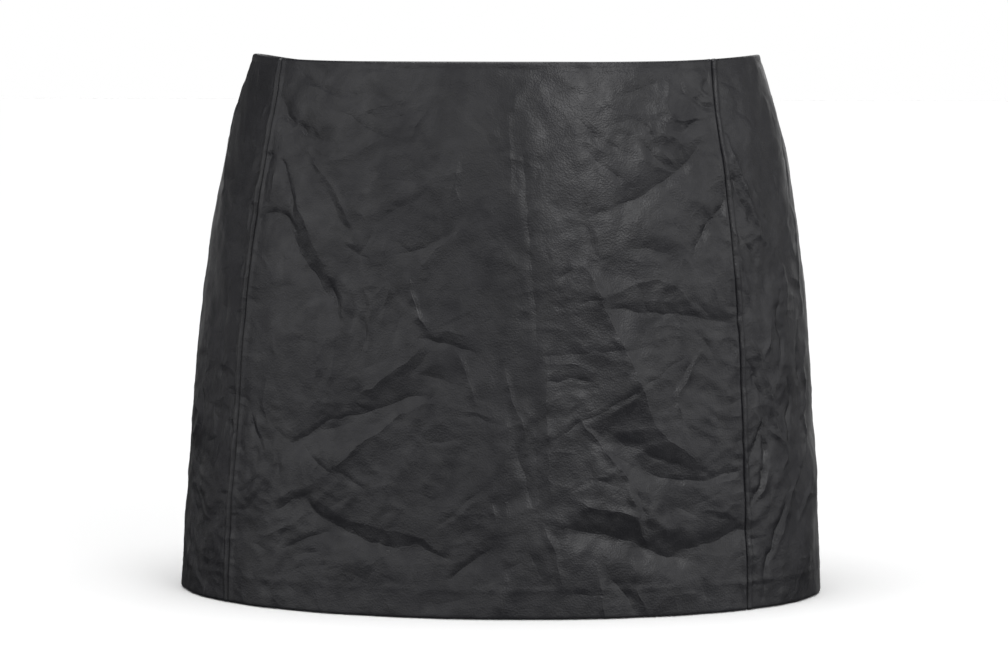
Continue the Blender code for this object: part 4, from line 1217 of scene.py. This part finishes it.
def make_panel(name, settings):
    """One cut piece of cloth with its seam allowances, waist turn-in and hem."""
    allowance, turn_in, hem = settings.seam_allowance, settings.waist_turn_in, settings.hem_turn_up
    wall_columns = WALL_COLUMNS[name.split("_")[0]]
    columns = fold_profile(
        BAND_STEPS, ROLL_STEPS, wall_columns, settings.seam_radius, allowance, allowance, BAND_STEPS
    )
    rows = fold_profile(
        BAND_STEPS, ROLL_STEPS, WALL_ROWS, settings.edge_radius, turn_in, hem, HEM_STEPS
    )
    turn, drop, outer, crisp = panel_grid(name, columns, rows, settings, 0.0)
    halved = [tuple(values[::2] for values in part) for part in (columns, rows)]
    inner = panel_grid(name, *halved, settings, settings.thickness)[2]
    keep = kept_cells(name, turn, drop, columns, rows)
    mesh = shell_mesh(name + "_cloth", outer, inner, keep, crisp)
    piece = bpy.data.objects.new(name + "_cloth", mesh)
    bpy.context.scene.collection.objects.link(piece)
    for material in (coated_cloth(settings), backing_cloth(settings)):
        piece.data.materials.append(material)
    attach(piece, "skirt")
    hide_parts(name)
    return piece


# Materials

def coated_cloth(settings):
    """Waxed polyurethane coating on woven cloth, pressed with a fine grain: semi-matte, with a
    soft broad sheen, a little shinier where it is rubbed, slightly mottled, and cracked into
    crisp fine lines along its creases."""
    name = "Waxed PU-coated cloth"
    if name in bpy.data.materials:
        return bpy.data.materials[name]
    material, shader = new_material(name)
    place = add_node(material, "ShaderNodeTexCoord").outputs["Object"]
    # The colour drifts over patches about 35 mm wide
    patches = add_node(material, "ShaderNodeTexNoise", (
        ("Vector", place), ("Scale", 1 / 0.035), ("Detail", 4.0), ("Roughness", 0.6),
    ))
    colour = add_node(material, "ShaderNodeMix", (
        ("Factor", patches.outputs["Fac"]),
        (6, linear(settings.coating_dark)), (7, linear(settings.coating_light)),
    ), data_type="RGBA")
    # The sheen changes over rubbed spots about 14 mm wide
    rubbed = add_node(material, "ShaderNodeTexNoise", (
        ("Vector", place), ("Scale", 1 / 0.014), ("Detail", 5.0), ("Roughness", 0.65),
    ))
    roughness = add_node(material, "ShaderNodeMapRange", (
        ("Value", rubbed.outputs["Fac"]), ("From Min", 0.3), ("From Max", 0.7),
        ("To Min", 0.30), ("To Max", 0.44),
    ))
    # The wax lies thicker and thinner over places about 26 mm wide
    waxed = add_node(material, "ShaderNodeTexNoise", (
        ("Vector", place), ("Scale", 1 / 0.026), ("Detail", 6.0), ("Roughness", 0.62),
        ("Distortion", 0.6),
    ))
    sheen = add_node(material, "ShaderNodeMapRange", (
        ("Value", waxed.outputs["Fac"]), ("From Min", 0.3), ("From Max", 0.7),
        ("To Min", 0.34), ("To Max", 0.64),
    ))
    # A crisp line along each crease, about a seventh as high as the crease
    distance = add_node(material, "ShaderNodeAttribute", attribute_name="crease_distance")
    height = add_node(material, "ShaderNodeAttribute", attribute_name="crease_height")
    size = add_node(material, "ShaderNodeMath", (
        (0, distance.outputs["Fac"]),
    ), operation="ABSOLUTE")
    crest = add_node(material, "ShaderNodeMapRange", (
        ("Value", size.outputs[0]), ("From Min", 0.0), ("From Max", CRISP_HALF_WIDTH),
        ("To Min", 1.0), ("To Max", 0.0),
    ), interpolation_type="SMOOTHSTEP")
    line = add_node(material, "ShaderNodeMath", (
        (0, crest.outputs["Result"]), (1, height.outputs["Fac"]),
    ), operation="MULTIPLY")
    creased = add_node(material, "ShaderNodeBump", (
        ("Height", line.outputs[0]), ("Strength", 1.0), ("Distance", 0.00014),
    ))
    # Fine wrinkles about 9 mm apart, bent by slower noise
    bend = add_node(material, "ShaderNodeTexNoise", (("Vector", place), ("Scale", 1 / 0.02)))
    bent = add_node(material, "ShaderNodeVectorMath", (
        (0, bend.outputs["Color"]), (1, (0.012, 0.012, 0.012)), (2, place),
    ), operation="MULTIPLY_ADD")
    wrinkles = add_node(material, "ShaderNodeTexNoise", (
        ("Vector", bent.outputs["Vector"]), ("Scale", 1 / 0.009), ("Detail", 4.0),
        ("Roughness", 0.55), ("Lacunarity", 2.1),
    ), noise_type="RIDGED_MULTIFRACTAL", normalize=True)
    # The pressed grain is about 0.7 mm, drawn at 1.3 mm so that it shows
    grain = add_node(material, "ShaderNodeTexVoronoi", (("Vector", place), ("Scale", 1 / 0.0013)))
    wrinkled = add_node(material, "ShaderNodeBump", (
        ("Height", wrinkles.outputs["Fac"]), ("Strength", 0.7), ("Distance", 0.00038),
        ("Normal", creased.outputs["Normal"]),
    ))
    grained = add_node(material, "ShaderNodeBump", (
        ("Height", grain.outputs["Distance"]), ("Strength", 0.5), ("Distance", 0.00026),
        ("Normal", wrinkled.outputs["Normal"]),
    ))
    links = material.node_tree.links
    links.new(colour.outputs[2], shader.inputs["Base Color"])
    links.new(roughness.outputs["Result"], shader.inputs["Roughness"])
    links.new(sheen.outputs["Result"], shader.inputs["Specular IOR Level"])
    links.new(grained.outputs["Normal"], shader.inputs["Normal"])
    shader.inputs["IOR"].default_value = 1.46
    return material


def backing_cloth(settings):
    """Plain-woven polyester backing glued under the coating: matte, dark and slightly fuzzy."""
    name = "Woven polyester backing"
    if name in bpy.data.materials:
        return bpy.data.materials[name]
    material, shader = new_material(name)
    place = add_node(material, "ShaderNodeTexCoord").outputs["Object"]
    # Threads are 0.4 mm apart, drawn 1.4 mm apart so that they show
    threads = [
        add_node(material, "ShaderNodeTexWave", (
            ("Vector", place), ("Scale", 1 / 0.0014 / 20 * math.pi), ("Distortion", 0.6),
        ), bands_direction=direction)
        for direction in ("DIAGONAL", "Z")
    ]
    weave = add_node(material, "ShaderNodeMath", (
        (0, threads[0].outputs["Fac"]), (1, threads[1].outputs["Fac"]),
    ), operation="MAXIMUM")
    raised = add_node(material, "ShaderNodeBump", (
        ("Height", weave.outputs[0]), ("Strength", 0.5), ("Distance", 0.0002),
    ))
    tone = add_node(material, "ShaderNodeTexNoise", (("Vector", place), ("Scale", 60.0), ("Detail", 3.0)))
    light = tuple(1.35 * c for c in linear(settings.backing)[:3]) + (1.0,)
    colour = add_node(material, "ShaderNodeMix", (
        ("Factor", tone.outputs["Fac"]), (6, linear(settings.backing)), (7, light),
    ), data_type="RGBA")
    links = material.node_tree.links
    links.new(colour.outputs[2], shader.inputs["Base Color"])
    links.new(raised.outputs["Normal"], shader.inputs["Normal"])
    shader.inputs["Roughness"].default_value = 0.9
    shader.inputs["Sheen Weight"].default_value = 0.15
    return material


def zip_tape_cloth(settings):
    """Herringbone-woven polyester tape: matte, with ribs along its length."""
    material, shader = new_material("Woven polyester tape")
    place = add_node(material, "ShaderNodeTexCoord").outputs["Object"]
    # Ribs 1 mm apart
    ribs = add_node(material, "ShaderNodeTexWave", (
        ("Vector", place), ("Scale", 1 / 0.001 / 20 * math.pi), ("Distortion", 1.5),
        ("Detail", 1.0),
    ), bands_direction="X")
    raised = add_node(material, "ShaderNodeBump", (
        ("Height", ribs.outputs["Fac"]), ("Strength", 0.6), ("Distance", 0.0002),
    ))
    light = tuple(1.6 * c for c in linear(settings.tape)[:3]) + (1.0,)
    colour = add_node(material, "ShaderNodeMix", (
        ("Factor", ribs.outputs["Fac"]), (6, linear(settings.tape)), (7, light),
    ), data_type="RGBA")
    links = material.node_tree.links
    links.new(colour.outputs[2], shader.inputs["Base Color"])
    links.new(raised.outputs["Normal"], shader.inputs["Normal"])
    shader.inputs["Roughness"].default_value = 0.85
    return material


def zip_nylon(settings):
    """Extruded nylon monofilament: smooth, with a satin gloss."""
    material, shader = new_material("Nylon monofilament")
    place = add_node(material, "ShaderNodeTexCoord").outputs["Object"]
    tone = add_node(material, "ShaderNodeTexNoise", (("Vector", place), ("Scale", 400.0), ("Detail", 2.0)))
    roughness = add_node(material, "ShaderNodeMapRange", (
        ("Value", tone.outputs["Fac"]), ("To Min", 0.32), ("To Max", 0.48),
    ))
    material.node_tree.links.new(roughness.outputs["Result"], shader.inputs["Roughness"])
    shader.inputs["Base Color"].default_value = linear(settings.nylon)
    shader.inputs["IOR"].default_value = 1.53
    return material


def painted_zinc(settings):
    """Die-cast zinc under black stoved paint: satin, with a faint orange peel."""
    material, shader = new_material("Black painted zinc")
    place = add_node(material, "ShaderNodeTexCoord").outputs["Object"]
    peel = add_node(material, "ShaderNodeTexNoise", (
        ("Vector", place), ("Scale", 1 / 0.0012), ("Detail", 2.0),
    ))
    raised = add_node(material, "ShaderNodeBump", (
        ("Height", peel.outputs["Fac"]), ("Strength", 0.25), ("Distance", 0.00008),
    ))
    roughness = add_node(material, "ShaderNodeMapRange", (
        ("Value", peel.outputs["Fac"]), ("To Min", 0.26), ("To Max", 0.38),
    ))
    links = material.node_tree.links
    links.new(roughness.outputs["Result"], shader.inputs["Roughness"])
    links.new(raised.outputs["Normal"], shader.inputs["Normal"])
    shader.inputs["Base Color"].default_value = linear(settings.metal)
    shader.inputs["Coat Weight"].default_value = 0.3
    return material


# Zip

def zip_point(x, drop, depth):
    """A point behind the centre back seam: x to the side of it, under the folded cloth."""
    turn = math.pi - np.arcsin(x / section_value(drop, 1))
    point = smooth_form(turn, drop)
    return point + outward(turn, drop) * (fold_height(turn, drop) * MM - depth)[..., None]


def tube_mesh(name, paths, radius, sides):
    """Tubes carried along paths: round each path point a ring in the plane across its run, its
    ends closed. Paths are one array: path, point, x y z."""
    run = np.gradient(paths, axis=1)
    run /= np.linalg.norm(run, axis=-1, keepdims=True)
    first = np.cross(run, np.array([0.31, 0.17, 0.93]))
    first /= np.linalg.norm(first, axis=-1, keepdims=True)
    second = np.cross(run, first)
    angle = np.arange(sides) * 2 * math.pi / sides
    ring = first[:, :, None] * np.cos(angle)[:, None] + second[:, :, None] * np.sin(angle)[:, None]
    points = paths[:, :, None] + radius * ring
    count, length = points.shape[:2]
    number = np.arange(count * length * sides).reshape(count, length, sides)
    after = np.roll(number, -1, axis=2)
    quads = np.stack([number[:, :-1], after[:, :-1], after[:, 1:], number[:, 1:]], -1).reshape(-1, 4)
    caps = number[:, 0, ::-1].tolist() + number[:, -1].tolist()
    mesh = bpy.data.meshes.new(name)
    mesh.from_pydata(points.reshape(-1, 3).tolist(), [], quads.tolist() + caps)
    mesh.validate()
    mesh.shade_smooth()
    return mesh


def coil_paths(settings):
    """The closed zip's two coils: each point turns round a flat oval and moves down one pitch a
    turn, and the second coil is half a pitch behind the first."""
    top = WAIST_DIP_BACK + SLIDER_BELOW_EDGE + SLIDER_HEIGHT / 2 + CLEARANCE + COIL_END
    bottom = WAIST_DIP_BACK + settings.length - COIL_END
    turns = int((bottom - top) / settings.coil_pitch)
    angle = np.linspace(0, 2 * math.pi * turns, turns * COIL_STEPS + 1)
    middle = TAPE_DEPTH + TAPE_THICK + LAYER_GAP + COIL_LAYER
    paths = []
    for side in (1, -1):
        x = side * (COIL_ASIDE - COIL_HALF_WIDTH * np.cos(angle))
        lag = 0.0 if side > 0 else settings.coil_pitch / 2
        drop = top + lag + settings.coil_pitch * angle / (2 * math.pi)
        depth = middle + COIL_HALF_DEPTH * np.sin(angle)
        paths.append(zip_point(x, np.minimum(drop, bottom), depth))
    return np.stack(paths)


# Operators

class SKIRT_OT_front_panel(bpy.types.Operator):
    """Makes the front panel between the two front princess seams"""

    bl_idname = "skirt.front_panel"
    bl_label = "Front Panel"

    def execute(self, context):
        make_panel("front_panel", context.scene.skirt_cloth)
        return {"FINISHED"}


class SKIRT_OT_side_panels(bpy.types.Operator):
    """Makes the two side panels, which have no side seam"""

    bl_idname = "skirt.side_panels"
    bl_label = "Side Panels"

    def execute(self, context):
        for side in ("left", "right"):
            make_panel("side_panel_" + side, context.scene.skirt_cloth)
        return {"FINISHED"}


class SKIRT_OT_back_panels(bpy.types.Operator):
    """Makes the two back panels, which meet at the zip and the centre back seam"""

    bl_idname = "skirt.back_panels"
    bl_label = "Back Panels"

    def execute(self, context):
        for side in ("left", "right"):
            make_panel("back_panel_" + side, context.scene.skirt_cloth)
        return {"FINISHED"}


class SKIRT_OT_zip(bpy.types.Operator):
    """Finishes the concealed zip: its tapes, its coil, its stop, its slider and its pull tab"""

    bl_idname = "skirt.zip"
    bl_label = "Concealed Zip"

    def execute(self, context):
        settings = context.scene.skirt_zip
        tape = zip_tape_cloth(settings)
        metal = painted_zinc(settings)
        finishes = {
            "zip_tape_left": tape, "zip_tape_right": tape,
            "zip_stop": metal, "zip_slider": metal, "zip_pull": metal,
        }
        for node, material in finishes.items():
            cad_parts[node].data.materials.clear()
            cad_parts[node].data.materials.append(material)
        coil = bpy.data.objects.new(
            "zip_coil", tube_mesh("zip_coil", coil_paths(settings), settings.coil_wire / 2, 6)
        )
        context.scene.collection.objects.link(coil)
        coil.data.materials.append(zip_nylon(settings))
        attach(coil, "skirt")
        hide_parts("zip_chain")
        return {"FINISHED"}


def studio_floor(settings, level):
    """A flat floor in matte pale paint just under the hem, which runs far out on every side."""
    far = 30.0
    mesh = bpy.data.meshes.new("studio_floor")
    corners = [(-far, -far, level), (far, -far, level), (far, far, level), (-far, far, level)]
    mesh.from_pydata(corners, [], [(0, 1, 2, 3)])
    floor = bpy.data.objects.new("studio_floor", mesh)
    bpy.context.scene.collection.objects.link(floor)
    material, shader = new_material("Matte floor paint")
    shader.inputs["Base Color"].default_value = linear(settings.floor)
    shader.inputs["Roughness"].default_value = 0.9
    shader.inputs["Specular IOR Level"].default_value = 0.1
    mesh.materials.append(material)
    floor.visible_glossy = False


# Soft boxes, in metres and watts
# Columns: name, place, size across, size up, power, point it faces
SOFT_BOXES = [
    ("Key soft box", (1.2, -2.2, 1.2), 1.1, 1.4, 17, (0.0, 0.0, -0.2)),
    ("Fill soft box", (-1.5, -2.2, 1.5), 1.1, 1.0, 2, (0.0, 0.0, -0.2)),
]


def add_soft_boxes():
    """Rectangular area lights, each turned to the point that it faces."""
    for name, place, across, up, power, target in SOFT_BOXES:
        light = bpy.data.lights.new(name, "AREA")
        light.shape = "RECTANGLE"
        light.size, light.size_y, light.energy = across, up, power
        lamp = bpy.data.objects.new(name, light)
        lamp.location = place
        lamp.rotation_euler = (Vector(target) - Vector(place)).to_track_quat("-Z", "Y").to_euler()
        bpy.context.scene.collection.objects.link(lamp)


def add_camera(settings):
    """The camera on the circle round the skirt's axis, at the height of the waist."""
    turn, pitch, roll = settings.camera_turn, settings.camera_pitch, settings.camera_roll
    ahead = Vector((-math.sin(turn) * math.cos(pitch), math.cos(turn) * math.cos(pitch), -math.sin(pitch)))
    right = Vector((math.cos(turn), math.sin(turn), 0.0))
    above = right.cross(ahead)
    leaning = math.cos(roll) * right + math.sin(roll) * above
    upright = leaning.cross(ahead)
    camera = bpy.data.objects.new("Camera", bpy.data.cameras.new("Camera"))
    camera.data.sensor_width = 36.0
    camera.data.lens = settings.focal_length
    axes = Matrix((leaning, upright, -ahead)).transposed().to_4x4()
    place = Vector((math.sin(turn), -math.cos(turn), 0.0)) * settings.camera_distance
    place -= right * settings.camera_aside
    camera.matrix_world = Matrix.Translation(place) @ axes
    bpy.context.scene.collection.objects.link(camera)
    bpy.context.scene.camera = camera


# How bright the studio's walls are round the skirt, as a share of the brightest
# Columns: degrees from the camera towards the wearer's left, brightness
WALLS = [
    (-150, 0.04), (-104, 0.06), (-80, 0.60), (-50, 0.66), (-20, 0.49), (20, 0.48), (50, 0.54),
    (78, 0.84), (102, 0.46), (126, 0.13), (150, 0.10), (168, 0.60),
]


def pale_surroundings(settings):
    """The studio round the skirt: a pale wall on each side of the camera, a little dimmer between
    them and dark behind but for one paler place. All of it is dim towards the floor and the
    ceiling. A white strip runs along the horizon, and a round bright opening is overhead. Heights
    are sines of the angle above the horizon."""
    world = bpy.data.worlds.new("Pale studio")
    world.use_nodes = True
    bpy.context.scene.world = world
    background = world.node_tree.nodes["Background"]
    direction = add_node(world, "ShaderNodeTexCoord").outputs["Generated"]
    axes = add_node(world, "ShaderNodeSeparateXYZ", (("Vector", direction),))
    ahead = add_node(world, "ShaderNodeMath", ((0, axes.outputs["Y"]), (1, -1.0)), operation="MULTIPLY")
    turn = add_node(world, "ShaderNodeMath", (
        (0, axes.outputs["X"]), (1, ahead.outputs[0]),
    ), operation="ARCTAN2")
    share = add_node(world, "ShaderNodeMapRange", (
        ("Value", turn.outputs[0]), ("From Min", -math.pi), ("From Max", math.pi),
        ("To Min", 0.0), ("To Max", 1.0),
    ))
    walls = add_node(world, "ShaderNodeValToRGB", (("Fac", share.outputs["Result"]),))
    stops = walls.color_ramp.elements
    for index, (degrees, brightness) in enumerate(WALLS):
        place = degrees / 360 + 0.5
        stop = stops[0] if index == 0 else stops.new(place)
        stop.position = place
        stop.color = (brightness, brightness, brightness, 1.0)
    stops.remove(stops[-1])
    rising = add_node(world, "ShaderNodeMapRange", (
        ("Value", axes.outputs["Z"]), ("From Min", -0.30), ("From Max", 0.22),
        ("To Min", settings.walls_low), ("To Max", settings.walls_high),
    ), interpolation_type="SMOOTHSTEP")
    falling = add_node(world, "ShaderNodeMapRange", (
        ("Value", axes.outputs["Z"]), ("From Min", 0.35), ("From Max", 0.80),
        ("To Min", 1.0), ("To Max", 0.05),
    ), interpolation_type="SMOOTHSTEP")
    banded = add_node(world, "ShaderNodeMath", (
        (0, rising.outputs["Result"]), (1, falling.outputs["Result"]),
    ), operation="MULTIPLY")
    sides = add_node(world, "ShaderNodeMath", (
        (0, banded.outputs[0]), (1, walls.outputs["Color"]),
    ), operation="MULTIPLY")
    level = add_node(world, "ShaderNodeMath", ((0, axes.outputs["Z"]),), operation="ABSOLUTE")
    strip = add_node(world, "ShaderNodeMapRange", (
        ("Value", level.outputs[0]), ("From Min", 0.015), ("From Max", 0.022),
        ("To Min", 1.0), ("To Max", 0.0),
    ))
    seen = add_node(world, "ShaderNodeMath", (
        (0, sides.outputs[0]), (1, strip.outputs["Result"]),
    ), operation="MAXIMUM")
    lean = settings.opening_lean
    towards = add_node(world, "ShaderNodeVectorMath", (
        (0, direction), (1, (0.0, -math.sin(lean), math.cos(lean))),
    ), operation="DOT_PRODUCT")
    half_angle = settings.opening_angle / 2
    opening = add_node(world, "ShaderNodeMapRange", (
        ("Value", towards.outputs["Value"]), ("From Min", math.cos(half_angle * 1.15)),
        ("From Max", math.cos(half_angle * 0.85)),
        ("To Min", 0.0), ("To Max", settings.opening),
    ), interpolation_type="SMOOTHSTEP")
    strength = add_node(world, "ShaderNodeMath", (
        (0, seen.outputs[0]), (1, opening.outputs["Result"]),
    ), operation="ADD")
    world.node_tree.links.new(strength.outputs[0], background.inputs["Strength"])
    background.inputs["Color"].default_value = (1.0, 1.0, 1.0, 1.0)


class SKIRT_OT_stage(bpy.types.Operator):
    """Sets the plain pale floor, the soft lights and the camera"""

    bl_idname = "skirt.stage"
    bl_label = "Studio"

    def execute(self, context):
        settings = context.scene.skirt_stage
        studio_floor(settings, CAD_BOX[0][2] - FLOOR_GAP)
        pale_surroundings(settings)
        add_soft_boxes()
        add_camera(settings)
        context.scene.view_settings.view_transform = "Standard"
        return {"FINISHED"}


class SKIRT_PT_panel(bpy.types.Panel):
    """Lists the skirt's pieces and sizes"""

    bl_idname = "SKIRT_PT_panel"
    bl_label = "Mini Pencil Skirt"
    bl_space_type = "VIEW_3D"
    bl_region_type = "UI"
    bl_category = "Skirt"

    def draw(self, context):
        for operator in OPERATORS:
            self.layout.operator(operator.bl_idname)
        for settings in (context.scene.skirt_cloth, context.scene.skirt_zip, context.scene.skirt_stage):
            box = self.layout.box()
            for key in settings.__annotations__:
                box.prop(settings, key)


SETTINGS = {"skirt_cloth": ClothSettings, "skirt_zip": ZipSettings, "skirt_stage": StageSettings}
OPERATORS = (
    SKIRT_OT_stage, SKIRT_OT_front_panel, SKIRT_OT_side_panels, SKIRT_OT_back_panels, SKIRT_OT_zip,
)


def register():
    for kind in (*SETTINGS.values(), *OPERATORS, SKIRT_PT_panel):
        bpy.utils.register_class(kind)
    for name, kind in SETTINGS.items():
        setattr(bpy.types.Scene, name, PointerProperty(type=kind))


def unregister():
    for name in SETTINGS:
        delattr(bpy.types.Scene, name)
    for kind in (SKIRT_PT_panel, *OPERATORS, *SETTINGS.values()):
        bpy.utils.unregister_class(kind)


def main():
    register()
    bpy.ops.skirt.stage()
    bpy.ops.skirt.front_panel()
    bpy.ops.skirt.side_panels()
    bpy.ops.skirt.back_panels()
    bpy.ops.skirt.zip()


if __name__ == "__main__":
    main()
